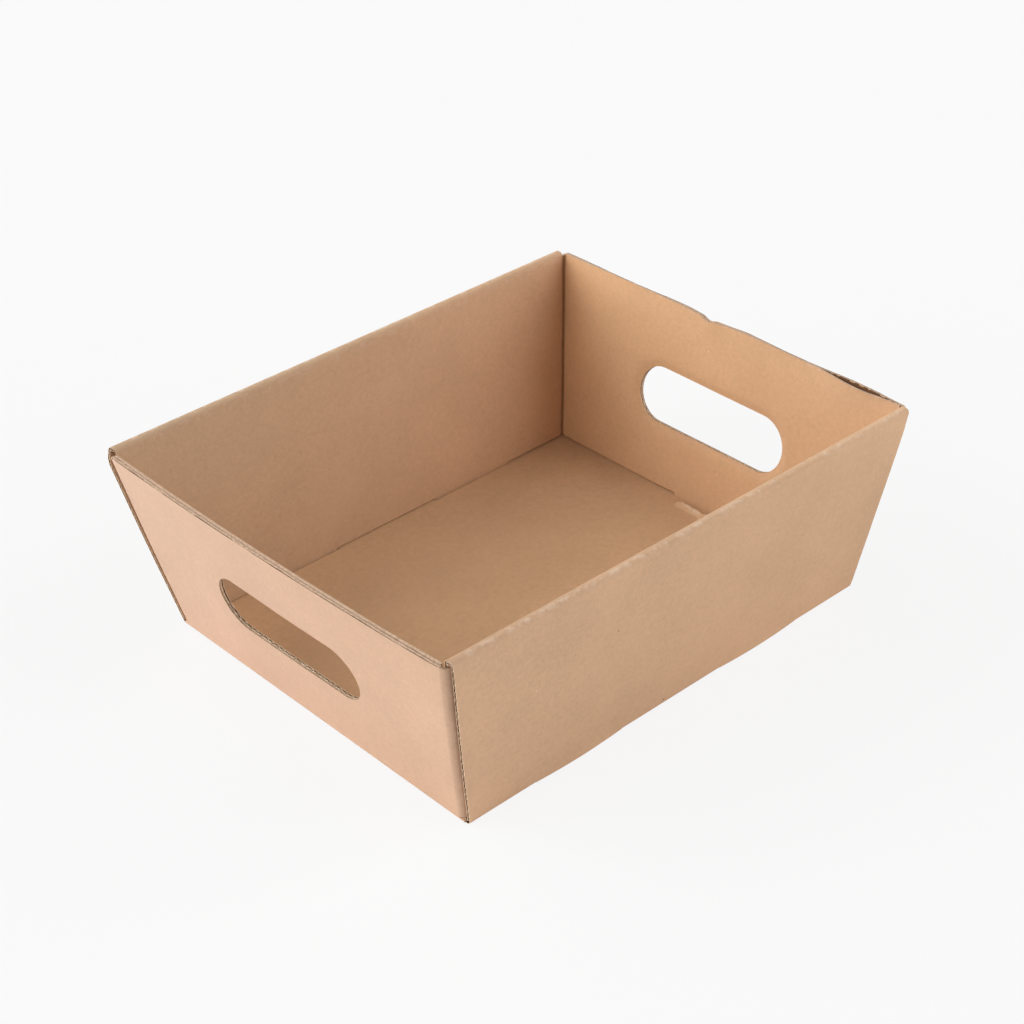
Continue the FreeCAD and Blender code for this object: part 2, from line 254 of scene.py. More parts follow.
@dataclass(frozen=True)
class TrayForm:
    """Places on the flared walls, and how the real tray leans away from its drawing.

    Depth is measured into the tray, square to a wall's outer face. Rise is measured up the slope.

    Attributes:
        base_length: Outside length at the table.
        base_width: Outside width at the table.
        rim_length: Length between the corners at the rim.
        rim_width: Outside width at the rim.
        height: Height of the long walls.
        end_drop: How much lower the end walls are.
        left_lean: Outward shift (x, y) of the rim's corner at -X +Y.
        near_lean: The same at -X -Y.
        right_lean: The same at +X -Y.
        far_lean: The same at +X +Y.
        near_foot: Outward shift (y) of the foot's corner at -X -Y.
        right_foot: Outward shift (x) of the foot's corner at +X -Y.
        edge_bulge: How far the corners bulge along X at half height.
        waviness: Height of the slow waves in all walls.
    """

    board: Board = Board()
    base_length: float = 225.0 * MM
    base_width: float = 185.0 * MM
    rim_length: float = 260.0 * MM
    rim_width: float = 215.0 * MM
    height: float = 90.0 * MM
    end_drop: float = 0.8 * MM
    left_lean: tuple[float, float] = (0.95 * MM, -0.36 * MM)
    near_lean: tuple[float, float] = (-1.38 * MM, -2.07 * MM)
    right_lean: tuple[float, float] = (-2.0 * MM, -0.78 * MM)
    far_lean: tuple[float, float] = (-0.34 * MM, -0.25 * MM)
    near_foot: float = 0.9 * MM
    right_foot: float = -0.9 * MM
    edge_bulge: float = 0.4 * MM
    waviness: float = 0.16 * MM

    @property
    def side_tilt(self) -> float:
        """Angle of the long walls away from upright."""
        return math.atan2((self.rim_width - self.base_width) / 2.0, self.height)

    @property
    def end_tilt(self) -> float:
        """Angle of the end walls away from upright."""
        return math.atan2((self.rim_length - self.base_length) / 2.0, self.height)

    @property
    def end_top(self) -> float:
        """Rise of the end walls' top edges."""
        thick = 2.0 * self.board.thickness + self.board.gap
        low = self.height - self.end_drop - thick * math.sin(self.end_tilt)
        return low / math.cos(self.end_tilt)

    def wall_y(self, depth: float, z: np.ndarray) -> np.ndarray:
        """Y of the +Y long wall: half the base, out with the height, in by the depth."""
        foot = self.base_width / 2.0
        return foot + z * math.tan(self.side_tilt) - depth / math.cos(self.side_tilt)

    def end_x(self, depth: float, z: np.ndarray) -> np.ndarray:
        """X of the +X end wall: half the base, out with the height, in by the depth."""
        foot = self.base_length / 2.0
        return foot + z * math.tan(self.end_tilt) - depth / math.cos(self.end_tilt)

    def on_end(self, depth: np.ndarray, rise: np.ndarray) -> tuple[np.ndarray, np.ndarray]:
        """X and Z of the +X end wall at a depth and a rise."""
        sine, cosine = math.sin(self.end_tilt), math.cos(self.end_tilt)
        return self.base_length / 2.0 - depth * cosine + rise * sine, depth * sine + rise * cosine

    def settle(self, points: np.ndarray) -> np.ndarray:
        """Moves points of the drawn tray to where the real, slightly warped one has them.

        The shifts of the rim's four corners are mixed by how near a point is to each corner, and
        grow with its height. Slow waves and a bulge of the corners at half height come on top.

        Args:
            points: Points of the drawn tray.

        Returns:
            The same points on the warped tray.
        """
        x, y, z = points[..., 0], points[..., 1], points[..., 2]
        lift = np.clip(z / self.height, 0.0, 1.0)
        u = np.clip(2.0 * x / self.rim_length, -1.0, 1.0)
        v = np.clip(2.0 * y / self.rim_width, -1.0, 1.0)
        shift_x, shift_y = np.zeros_like(x), np.zeros_like(y)
        leans = {(-1, 1): self.left_lean, (-1, -1): self.near_lean}
        leans |= {(1, -1): self.right_lean, (1, 1): self.far_lean}
        for (side_x, side_y), (lean_x, lean_y) in leans.items():
            share = (1.0 + side_x * u) * (1.0 + side_y * v) / 4.0
            shift_x = shift_x + share * side_x * lean_x
            shift_y = shift_y + share * side_y * lean_y
        bulge = np.sin(math.pi * lift) * smooth((np.abs(u) - 0.8) / 0.1)
        swell = self.waviness * np.sin(math.pi * lift) ** 0.5
        shift_x = shift_x * lift + np.sign(u) * self.edge_bulge * bulge
        low, front = 1.0 - lift, np.clip(-v, 0.0, 1.0)
        shift_x = shift_x + low * np.clip(u, 0.0, 1.0) * front * self.right_foot
        shift_x = shift_x + swell * ripple(y, z, 11, 0.11)
        foot = low * np.clip(0.5 - 0.5 * u, 0.0, 1.0) * front * self.near_foot
        shift_y = shift_y * lift - foot + swell * ripple(x, z, 23, 0.13)
        return np.stack([x + shift_x, y + shift_y, z], -1)


@dataclass
class Shell:
    """Grids of points that are welded into one closed mesh.

    Attributes:
        board: The board that the piece is cut from.
        points: Points of each grid.
        quads: Faces of each grid, as four point numbers.
        stuffs: What each face is made of.
        flutes: Place across the flutes of each point.
        creases: Wear at each point, from 0 to 1.
        count: Points so far.
    """

    board: Board
    points: list[np.ndarray] = field(default_factory=list)
    quads: list[np.ndarray] = field(default_factory=list)
    stuffs: list[np.ndarray] = field(default_factory=list)
    flutes: list[np.ndarray] = field(default_factory=list)
    creases: list[np.ndarray] = field(default_factory=list)
    count: int = 0

    def grid(self, points: np.ndarray, stuff: Stuff, flute=0.0, crease=0.0) -> None:
        """Adds a grid of points and the faces between its rows and columns.

        Args:
            points: Points by row and column.
            stuff: What the faces are made of.
            flute: Place across the flutes of each point.
            crease: Wear at each point.
        """
        rows, columns = points.shape[:2]
        index = self.count + np.arange(rows * columns).reshape(rows, columns)
        corners = [index[:-1, :-1], index[1:, :-1], index[1:, 1:], index[:-1, 1:]]
        quads = np.stack(corners, -1).reshape(-1, 4)
        self.points.append(points.reshape(-1, 3))
        self.quads.append(quads)
        self.stuffs.append(np.full(len(quads), stuff.value))
        self.flutes.append(np.broadcast_to(flute, (rows, columns)).ravel())
        self.creases.append(np.broadcast_to(crease, (rows, columns)).ravel())
        self.count += rows * columns

    def faces(self, place: Place, u: np.ndarray, v: np.ndarray,
              flute=0.0, crease=0.0, torn_and_shaded=0.0) -> None:
        """Adds both faces of a stretch of board.

        The inner one's wear is lowered where its liner is ripped off, and the liner's material
        paints that patch dark as shade.
        """
        for depth, lost in ((0.0, 0.0), (self.board.thickness, torn_and_shaded)):
            self.grid(place(u, v, np.asarray(depth)), Stuff.LINER, flute, crease - lost)

    def plain_edge(self, place: Place, u: np.ndarray, v: np.ndarray, stuff=Stuff.CUT) -> None:
        """Closes a border with a flat cut edge: the border's line at each depth of the cut."""
        rows = [place(u, v, np.asarray(depth)) for depth in self.board.cut_depths]
        self.grid(np.stack(rows), stuff)

    def raw_edge(self, place: Place, u: np.ndarray, v: np.ndarray, du, dv, loop=False) -> None:
        """Closes a border with an open edge, which shows into the flutes.

        The border's line goes from the outer face through the outer liner, in along it to the
        floor behind the flutes, across, and back out to the inner face. At its two ends the
        floor comes out to the edge, so that it meets the neighbouring edges.

        Args:
            place: Turns (u, v, depth) into a point.
            u: First flat coordinate of the border.
            v: Second flat coordinate of the border.
            du: Change of u for one metre into the board.
            dv: Change of v for one metre into the board.
            loop: Whether the border closes on itself.
        """
        way_in = np.full(u.shape, self.board.recess)
        if not loop:
            way_in[0] = way_in[-1] = 0.0
        outer, inner = self.board.cut_depths[1], self.board.cut_depths[2]
        depths = [0.0, outer, outer, inner, inner, self.board.thickness]
        insets = [0.0, 0.0, 1.0, 1.0, 0.0, 0.0]
        rows = []
        for depth, share in zip(depths, insets):
            rows.append(place(u + du * way_in * share, v + dv * way_in * share, np.asarray(depth)))
        # The recess's sides and floor take the flutes' material, painted dark as the shade inside
        # the edge.
        self.strips(rows, (Stuff.CUT, Stuff.FLUTE, Stuff.FLUTE, Stuff.FLUTE, Stuff.CUT))

    def strips(self, rows: list[np.ndarray], stuffs: tuple[Stuff, ...]) -> None:
        """Adds a strip between each row of points and the next."""
        for index, stuff in enumerate(stuffs):
            self.grid(np.stack(rows[index:index + 2]), stuff)

    def pressed_edge(self, place: Place, u: np.ndarray, v: np.ndarray,
                     up: float, split: np.ndarray) -> None:
        """Closes a border where a cut-scored fold has pressed the board together.

        The edge is a flat pressed strip with round shoulders. Behind the outer liner it is split
        by a groove, as wide as the split there, which is nothing where the fold was left uncut.

        Args:
            place: Turns (u, v, depth) into a point.
            u: First flat coordinate of the border.
            v: Second flat coordinate of the border.
            up: Direction of v out of the board, 1 or -1.
            split: Width of the groove at each point.
        """
        thick = self.board.thickness
        split = np.maximum(split, 0.01 * MM)
        deep = np.minimum(split * 4.0, 1.6 * MM)
        level = 0.0 * split
        near, far = level + 0.06 * MM, 0.06 * MM + split
        rows = [
            (level, level), (near, level), (near + 0.01 * MM, level - deep),
            (far - 0.005 * MM, level - deep), (far, level),
            (level + thick * 0.8, level + 0.03 * MM), (level + thick, level),
        ]
        points = [place(u, v + up * rise, depth) for depth, rise in rows]
        # The groove's walls take the flutes' material, painted dark as the shade in the split.
        groove = (Stuff.FLUTE,) * 3
        self.strips(points, (Stuff.PRESSED, *groove, Stuff.PRESSED, Stuff.PRESSED))

    def ribbon(self, place: Place, u: np.ndarray, v: np.ndarray, du, dv, across: Place,
               crush: np.ndarray, arch: float = 0.0, thick: float = 0.24 * MM, loop=False) -> None:
        """Adds the wavy medium behind an open edge.

        Its middle lies at half the board's depth plus the wave's height times the cosine of the
        place across the flutes, one turn for each flute. Where the cut has bent the flutes into
        arches, it is instead one less twice the sine of half the turn, without its sign. Both
        its faces, its cut end and its hidden back edge make one thin closed strip.

        Args:
            place: Turns (u, v, depth) into a point.
            u: First flat coordinate of the edge, with a dozen points to a flute.
            v: Second flat coordinate of the edge.
            du: Change of u for one metre into the board.
            dv: Change of v for one metre into the board.
            across: Gives the place across the flutes at (u, v).
            crush: Height of the wave at each point, as a share of the full one.
            arch: 0 for waves, 1 for arches that open inwards, -1 for arches that open outwards.
            thick: Thickness of the medium there, frayed by the cut.
            loop: Whether the edge closes on itself.
        """
        ways_in = np.array([0.08 * MM, 0.9 * MM, 2.0 * MM, self.board.recess + 0.1 * MM])[:, None]
        uu, vv = u + du * ways_in, v + dv * ways_in
        turn = 2.0 * math.pi * across(uu, vv) / self.board.pitch
        arches = 1.0 - 2.0 * np.abs(np.sin(turn / 2.0)) ** 0.9
        waves = (1.0 - abs(arch)) * np.cos(turn) + arch * arches
        depth = self.board.half + self.board.wave * crush * waves
        upper = place(uu, vv, depth - thick / 2.0)
        lower = place(uu, vv, depth + thick / 2.0)
        # Both faces of the medium take the flutes' material, painted dark as shade.
        for sheet in (upper, lower):
            self.grid(sheet, Stuff.FLUTE)
        self.grid(np.stack([upper[0], lower[0]]), Stuff.CUT)
        self.grid(np.stack([upper[-1], lower[-1]]), Stuff.FLUTE)
        if not loop:
            for column in (0, -1):
                self.grid(np.stack([upper[:, column], lower[:, column]]), Stuff.FLUTE)

    def build(self, name: str, finishes: list[bpy.types.Material]) -> bpy.types.Object:
        """Welds the grids, turns all faces outwards and makes the piece.

        Args:
            name: Name of the piece.
            finishes: Materials of the liner, the cut edge, the flutes and the pressed edge; the
                flutes'
            material is painted dark as shade.

        Returns:
            The piece.
        """
        points, quads = np.concatenate(self.points), np.concatenate(self.quads)
        mesh = bpy.data.meshes.new(name)
        mesh.vertices.add(len(points))
        mesh.vertices.foreach_set("co", points.astype(np.float32).ravel())
        mesh.loops.add(quads.size)
        mesh.loops.foreach_set("vertex_index", quads.astype(np.int32).ravel())
        mesh.polygons.add(len(quads))
        mesh.polygons.foreach_set("loop_start", np.arange(0, quads.size, 4, dtype=np.int32))
        mesh.polygons.foreach_set("material_index", np.concatenate(self.stuffs).astype(np.int32))
        for label, values in (("flute", self.flutes), ("crease", self.creases)):
            layer = mesh.attributes.new(label, "FLOAT", "POINT")
            layer.data.foreach_set("value", np.concatenate(values).astype(np.float32))
        for finish in finishes:
            mesh.materials.append(finish)
        mesh.update(calc_edges=True)
        welded = bmesh.new()
        welded.from_mesh(mesh)
        bmesh.ops.remove_doubles(welded, verts=welded.verts, dist=WELD)
        bmesh.ops.recalc_face_normals(welded, faces=welded.faces)
        welded.to_mesh(mesh)
        welded.free()
        mesh.polygons.foreach_set("use_smooth", np.ones(len(mesh.polygons), bool))
        mesh.set_sharp_from_angle(angle=math.radians(32.0))
        piece = bpy.data.objects.new(name, mesh)
        bpy.context.scene.collection.objects.link(piece)
        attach(piece, "root")
        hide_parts("tray")
        LOG.info("%s: %d faces", name, len(mesh.polygons))
        return piece


def spread(low: float, high: float, step: float, marks: list, edge: float) -> np.ndarray:
    """Even places from low to high, with two more close together at each mark inside them."""
    count = max(2, int(round(abs(high - low) / step)) + 1)
    places = [np.linspace(low, high, count)]
    for mark in marks:
        places.append(np.array([mark - edge, mark + edge]))
    joined = np.unique(np.concatenate(places))
    inside = (joined >= min(low, high)) & (joined <= max(low, high))
    return joined[inside]


@dataclass
class LockTab:
    """A lock tab of a long wall, with its slot in the base and the slot's crescent outside.

    Attributes:
        centre: Middle along X.
        length: Length along X.
        play: How much longer the slot is at each end.
    """

    centre: float
    length: float = 46.0 * MM
    play: float = 0.6 * MM

    def through(self, x: np.ndarray, edge: float) -> np.ndarray:
        """1 where the tab is, 0 beside it."""
        return plateau(x, self.centre, self.length / 2.0, edge)

    def open(self, x: np.ndarray, edge: float) -> np.ndarray:
        """1 where the slot is, 0 beside it."""
        return plateau(x, self.centre, self.length / 2.0 + self.play, edge)


@dataclass(frozen=True)
class RawSide:
    """How far a long wall's raw side edge stands in from the end wall's face.

    Attributes:
        heights: Heights at which the outer layer's inset is given.
        insets: The outer layer's inset at each of them.
        inner: Inset of the band and the inner layer.
        flare: How far the outer layer stands off at its raw edge.
    """

    heights: tuple[float, ...] = (0.0, 90.0 * MM)
    insets: tuple[float, ...] = (1.0 * MM, 3.0 * MM)
    inner: float = 3.0 * MM
    flare: float = 0.3 * MM


@dataclass
class LongWall:
    """A long wall: base fold, outer layer, flat band between two creases, inner layer, lock tabs.

    Attributes:
        form: Places on the tray.
        side: Which long wall it is.
        tabs: Its lock tabs.
        raw_sides: Its raw side edge at each end wall.
        even: Half length of the middle part, whose columns are upright.
    """

    form: TrayForm
    side: Wall
    tabs: list[LockTab]
    raw_sides: dict[End, RawSide]
    even: float = 85.0 * MM
    base_radius: float = 0.5 * MM
    crease_radius: float = 0.4 * MM
    foot_gap: float = 0.6 * MM
    crescent_lift: float = 0.35 * MM
    crescent_rise: float = 0.5 * MM
    crescent_top: float = 5.0 * MM
    crescent_flare: float = 0.5 * MM
    tab_tip: float = 0.2 * MM
    tab_root: float = 5.0 * MM
    edge: float = 0.12 * MM

    def __post_init__(self) -> None:
        """Works out the section and where its parts begin."""
        board, form = self.form.board, self.form
        half = board.half
        inner = 2.0 * board.step + half
        band = form.height - half
        foot = board.thickness + self.foot_gap
        corners = [
            (self.joint_y, half),
            (form.wall_y(half, half), half),
            (form.wall_y(half, band), band),
            (form.wall_y(inner, band), band),
            (form.wall_y(inner, foot), foot),
        ]
        radii = [self.base_radius, self.crease_radius, self.crease_radius]
        self.profile = bent_profile(corners, radii, half, 3.0 * MM, 7)
        self.foot = foot
        self.rim_run = float(self.profile.run[np.argmax(self.profile.middle[:, 1] >= band - WELD)])

    @property
    def joint_y(self) -> float:
        """Y where the wall's sheet goes over into the base."""
        tangent = (self.base_radius + self.form.board.half) * math.tan(math.radians(42.0))
        return self.form.base_width / 2.0 - tangent - 0.6 * MM

    def half_length(self, run: np.ndarray, end: End) -> np.ndarray:
        """X of a raw edge: its inset changes with the height on the outer layer only."""
        _, z = self.profile.at(run, np.asarray(self.form.board.half))
        raw = self.raw_sides[end]
        inset = np.interp(z, raw.heights, raw.insets)
        inset = np.where(run > self.rim_run, raw.inner, inset)
        return self.form.base_length / 2.0 + z * math.tan(self.form.end_tilt) - inset

    def columns(self, run: np.ndarray) -> np.ndarray:
        """X by row and column: upright columns in the middle, stretched to the raw edges."""
        marks = []
        for tab in self.tabs:
            for sign in (-1.0, 1.0):
                marks.append(tab.centre + sign * tab.length / 2.0)
                marks.append(tab.centre + sign * (tab.length / 2.0 + tab.play))
        full = self.form.base_length / 2.0
        x = spread(-full, full, 2.6 * MM, marks, self.edge)
        far = (self.half_length(run, End.FAR) - self.even) / (full - self.even)
        near = (self.half_length(run, End.NEAR) - self.even) / (full - self.even)
        beyond = np.maximum(np.abs(x) - self.even, 0.0)
        stretch = np.where(x > 0.0, far[:, None], near[:, None])
        return np.sign(x) * (np.minimum(np.abs(x), self.even) + beyond * stretch)

    def place(self, run: np.ndarray, x: np.ndarray, depth: np.ndarray) -> np.ndarray:
        """Point of the wall.

        At a slot the fold is missing, so the section there is the wall's own plane carried down
        to the crescent's edge, which is an arc over the table. At a tab the inner layer is
        stretched down from its root to the tab's tip.

        Args:
            run: Distance along the section.
            x: Place along the wall.
            depth: Depth below the outer face.

        Returns:
            The point on the warped tray.
        """
        y, z = self.profile.at(run, depth)
        run, x, depth = np.broadcast_arrays(run, x, depth)
        form = self.form
        tilt = form.side_tilt
        reach = self.tab_root - self.foot
        for end in End:
            away = self.form.base_length / 2.0 + z * math.tan(form.end_tilt) - end.value * x
            free = smooth(1.0 - away / (16.0 * MM)) * smooth(z / (5.0 * MM))
            free = free * smooth((86.0 * MM - z) / (6.0 * MM))
            y = y + self.raw_sides[end].flare * free * (run < self.rim_run)
        for tab in self.tabs:
            slot = tab.open(x, self.edge) * (run < self.rim_run)
            arc = np.clip((x - tab.centre) / (tab.length / 2.0 + tab.play), -1.0, 1.0) ** 2
            low = self.crescent_lift + self.crescent_rise * arc
            top_run = self.crescent_top + 1.2 * MM
            rise = low + (self.crescent_top - low) * np.clip(run / top_run, 0.0, 1.0)
            slot = slot * (run < top_run + 1.0 * MM)
            flare = self.crescent_flare * (1.0 - arc) * smooth(1.0 - rise / self.crescent_top)
            crescent_y = form.wall_y(0.0, rise) - depth * math.cos(tilt) + flare
            crescent_z = rise + depth * math.sin(tilt)
            kept = np.where(run < top_run, slot, 0.0)
            y = y + kept * (crescent_y - y)
            z = z + kept * (crescent_z - z)
            down = np.clip((self.tab_root - z) / reach, 0.0, 1.0) * (run > self.rim_run)
            z = z - tab.through(x, self.edge) * down * (self.foot - self.tab_tip)
        return form.settle(np.stack([x, self.side.value * y, z], -1))

    def build(self, finishes: list[bpy.types.Material]) -> bpy.types.Object:
        """Makes the wall with its raw side edges open."""
        shell = Shell(self.form.board)
        run = self.profile.run
        x = self.columns(run)
        runs = np.repeat(run[:, None], x.shape[1], 1)
        worn = self.wear(runs)
        shell.faces(self.place, runs, x, flute=runs, crease=worn)
        shell.plain_edge(self.place, runs[0], x[0])
        shell.plain_edge(self.place, runs[-1], x[-1])
        flute_runs = np.arange(run[0] + 2.2 * MM, run[-1] - 0.5 * MM, self.form.board.pitch / 12.0)
        crush = self.crush(flute_runs)
        for end in End:
            sign = float(end.value)
            shell.raw_edge(self.place, run, sign * self.half_length(run, end), 0.0, -sign)
            edge_x = sign * self.half_length(flute_runs, end)
            shell.ribbon(self.place, flute_runs, edge_x, 0.0, -sign, lambda u, v: u, crush)
        return shell.build(f"{self.side.name.lower()}_wall", finishes)

    def wear(self, run: np.ndarray) -> np.ndarray:
        """Wear along the two creases of the rim, each a hump 1.6 mm wide each way."""
        worn = hump(run, self.crease_runs[0], 1.6 * MM)
        return worn + 0.7 * hump(run, self.crease_runs[1], 1.6 * MM)

    def crush(self, run: np.ndarray) -> np.ndarray:
        """Share of the flutes' height left: they are pressed flat at the creases."""
        pressed = sum(hump(run, crease, 4.0 * MM) for crease in self.crease_runs)
        uneven = 0.95 + 0.12 * ripple(run, run, 5, 0.02)
        return uneven * (1.0 - 0.75 * np.clip(pressed, 0.0, 1.0))

    @property
    def crease_runs(self) -> tuple[float, float]:
        """Distances along the section of the rim's two creases."""
        band = 2.0 * self.form.board.step / math.cos(self.form.side_tilt)
        return self.rim_run, self.rim_run + band


@dataclass(frozen=True)
class Swell:
    """A stretch of a layer that stands out of its plane, most at the top edge.

    Attributes:
        centre: Its middle along Y.
        half_width: Its half width.
        push: How far it stands outwards.
        reach: How far down the slope it fades out.
    """

    centre: float
    half_width: float
    push: float
    reach: float

    def at(self, y: np.ndarray, down: np.ndarray) -> np.ndarray:
        """Push at a place along Y and a distance below the top edge."""
        return self.push * hump(y, self.centre, self.half_width) * smooth(1.0 - down / self.reach)


@dataclass(frozen=True)
class Nick:
    """A bit of the top fold that the cut-score left whole.

    Attributes:
        centre: Its middle along Y.
        width: Its width along Y.
    """

    centre: float
    width: float


@dataclass(frozen=True)
class Crush:
    """How an edge of a doubled wall is pressed together.

    Attributes:
        shifts: How far the outer and the inner layer are moved in.
        shares: Share of each layer's thickness that is left.
        reach: How far from the edge it fades out.
    """

    shifts: dict[Layer, float]
    shares: dict[Layer, float]
    reach: float

    def at(self, layer: Layer, depth: np.ndarray, away: np.ndarray) -> np.ndarray:
        """Change of a depth in a layer: a bell curve of the distance from the edge."""
        near = np.exp(-(np.maximum(away, 0.0) / self.reach) ** 2)
        return near * (self.shifts[layer] + depth * (self.shares[layer] - 1.0))


@dataclass
class EndWall:
    """An end wall: outer layer, nicked fold, inner layer with its foot tab, hand slot.

    Attributes:
        form: Places on the tray.
        end: Which end wall it is.
        slot_y: Middle of the hand slot along Y.
        slot_rise: Middle of the hand slot up the slope.
        bow: How far the top edge bows outwards in its middle.
        nicks: Uncut bits of the top fold.
        swells: For each layer, the stretches that stand out of its plane.
        dips: Where the top edge is pressed down: middle, half width and depth.
        splits: Width of the open score along the top fold.
        drop: How much lower each layer's top edge is.
        foot_lift: Where the inner layer's foot is lifted: middle, half width and height.
        bare_and_shaded: How much of the outer layer's inner liner is ripped off in the gape, from
            0 to 2; the
        patch is painted dark as the shade in the gape.
    """

    form: TrayForm
    end: End
    slot_y: float
    slot_rise: float
    bow: float
    nicks: list[Nick]
    swells: dict[Layer, list[Swell]]
    dips: dict[Layer, list[tuple[float, float, float]]]
    splits: dict[Layer, float] = field(
        default_factory=lambda: {Layer.OUTER: 0.5 * MM, Layer.INNER: 0.0})
    drop: dict[Layer, float] = field(default_factory=lambda: {Layer.OUTER: 0.0, Layer.INNER: 0.0})
    foot_lift: tuple[float, float, float] = (0.0, 10.0 * MM, 0.0)
    bare_and_shaded: float = 0.0
    slot_length: float = 88.0 * MM
    slot_height: float = 27.0 * MM
    frayed: float = 0.33 * MM
    flap_gap: float = 0.8 * MM
    slot_crush: Crush = Crush({Layer.OUTER: 0.12 * MM, Layer.INNER: -0.7 * MM},
                              {Layer.OUTER: 0.48, Layer.INNER: 0.82}, 2.2 * MM)
    top_crush: Crush = Crush({Layer.OUTER: 0.04 * MM, Layer.INNER: -0.22 * MM},
                             {Layer.OUTER: 0.8, Layer.INNER: 0.76}, 6.0 * MM)
    fold_rise: float = 2.4 * MM
    base_radius: float = 0.5 * MM
    outer_side: float = 4.85 * MM
    inner_side: float = 5.7 * MM
    foot_side: float = 2.05 * MM
    foot_gap: float = 0.7 * MM
    tab_half: float = 12.0 * MM
    tab_tip: float = 0.2 * MM
    edge: float = 0.12 * MM

    @property
    def slot_radius(self) -> float:
        """Radius of the hand slot's round ends."""
        return self.slot_height / 2.0

    @property
    def slot_straight(self) -> float:
        """Half length of the hand slot's straight part."""
        return self.slot_length / 2.0 - self.slot_radius

    def slot_middle(self, y: np.ndarray) -> np.ndarray:
        """Nearest place to y on the hand slot's middle line."""
        return np.clip(y - self.slot_y, -self.slot_straight, self.slot_straight) + self.slot_y

    def z_at(self, rise: np.ndarray, layer: Layer) -> np.ndarray:
        """Height of a layer's middle at a rise."""
        depth = layer.value * self.form.board.step + self.form.board.half
        return self.form.on_end(np.asarray(depth), rise)[1]

    def side_y(self, rise: np.ndarray, layer: Layer) -> np.ndarray:
        """Half width of a layer at a rise."""
        inset = self.outer_side if layer is Layer.OUTER else self.inner_side
        return self.form.wall_y(inset, self.z_at(rise, layer))

    def top(self, y: np.ndarray, layer: Layer) -> np.ndarray:
        """Rise of a layer's top edge: the fold's line, less its dips and a fine unevenness."""
        uneven = 0.07 * MM * ripple(y, y, 31 + layer.value, 0.03)
        rise = self.form.end_top - self.drop[layer] + uneven
        for centre, half_width, drop in self.dips[layer]:
            rise = rise - drop * hump(y, centre, half_width)
        return rise

    def foot(self, y: np.ndarray) -> np.ndarray:
        """Rise of the inner layer's foot: just over the base, and down to the tip at the tab."""
        clear = self.form.board.thickness + self.foot_gap
        depth = self.form.board.step + self.form.board.half
        low = (clear - depth * math.sin(self.form.end_tilt)) / math.cos(self.form.end_tilt)
        centre, half_width, lift = self.foot_lift
        low = low + lift * hump(y, centre, half_width)
        return low - (clear - self.tab_tip) * plateau(y, 0.0, self.tab_half, self.edge)

    def place(self, layer: Layer) -> Place:
        """Gives the function that places one layer.

        The outward push at (y, rise) is the bow times one less the square of y's share of the half
        width, growing with the rise, plus the layer's swells.

        Args:
            layer: The layer.

        Returns:
            Function of (y, rise, depth).
        """
        form = self.form
        span = form.end_top - self.fold_rise

        def point(y: np.ndarray, rise: np.ndarray, depth: np.ndarray) -> np.ndarray:
            y, rise, depth = np.broadcast_arrays(y, rise, depth)
            pressed = self.slot_crush.at(layer, depth, self.from_slot(y, rise))
            pressed = pressed + self.top_crush.at(layer, depth, form.end_top - rise)
            x, z = form.on_end(layer.value * form.board.step + depth + pressed, rise)
            wide = np.clip(np.abs(y) / self.side_y(rise, Layer.OUTER), 0.0, 1.0)
            lift = np.clip((rise - self.fold_rise) / span, 0.0, 1.0)
            push = self.bow * (1.0 - wide ** 2) * lift ** 1.3
            for swell in self.swells[layer]:
                push = push + swell.at(y, form.end_top - rise)
            x = x + push
            return form.settle(np.stack([self.end.value * x, y, z], -1))

        return point

    def from_slot(self, y: np.ndarray, rise: np.ndarray) -> np.ndarray:
        """Distance from the hand slot's edge: that from its middle line, less the end radius."""
        radius, straight = self.slot_radius, self.slot_straight
        nearest = np.clip(y - self.slot_y, -straight, straight)
        return np.hypot(y - self.slot_y - nearest, rise - self.slot_rise) - radius

    def slot_line(self) -> tuple[np.ndarray, np.ndarray, np.ndarray]:
        """Outline of the hand slot, dense and clockwise from the middle of its left round end.

        Returns:
            Its y, its rise and its distance along.
        """
        radius, straight = self.slot_radius, self.slot_straight
        turn = np.linspace(0.0, math.pi, 120)
        left = np.stack([-straight - radius * np.sin(turn), -radius * np.cos(turn)], 1)
        right = np.stack([straight + radius * np.sin(turn), radius * np.cos(turn)], 1)
        line = np.concatenate([left, right, left[:1]])
        line = np.roll(line[:-1], -60, 0)
        line = np.concatenate([line, line[:1]])
        run = run_along(line)
        return line[:, 0] + self.slot_y, line[:, 1] + self.slot_rise, run

    def slot_at(self, share: np.ndarray) -> tuple[np.ndarray, ...]:
        """Points of the slot's outline by share of its length, and the way into the board."""
        y, rise, run = self.slot_line()
        at = (share % 1.0) * run[-1]
        py, ps = np.interp(at, run, y), np.interp(at, run, rise)
        away = np.stack([py - self.slot_middle(py), ps - self.slot_rise])
        away = away / np.linalg.norm(away, axis=0)
        return py, ps, away[0], away[1]

    def borders(self, layer: Layer) -> list[np.ndarray]:
        """Top, right, bottom and left borders of a layer, clockwise, as rows of (y, rise)."""
        outer = layer is Layer.OUTER
        low_mid = self.fold_rise if outer else float(self.foot(np.zeros(1) + 0.05)[0])
        top_half = float(self.side_y(np.asarray(self.form.end_top), layer))
        low_half = float(self.side_y(np.asarray(low_mid), layer))
        marks = [] if outer else [-self.tab_half, self.tab_half]
        top_y = spread(-top_half, top_half, 1.7 * MM, [], self.edge)
        low_y = spread(-low_half, low_half, 2.9 * MM, marks, self.edge)[::-1]
        low_rise = np.full(low_y.shape, self.fold_rise) if outer else self.foot(low_y)
        top_rise = self.top(top_y, layer)
        sides = []
        for start, end in ((top_rise[-1], low_rise[0]), (low_rise[-1], top_rise[0])):
            rise = np.linspace(start, end, 31)
            sides.append(np.stack([self.side_y(rise, layer), rise], 1))
        sides[1][:, 0] *= -1.0
        return [np.stack([top_y, top_rise], 1), sides[0], np.stack([low_y, low_rise], 1), sides[1]]

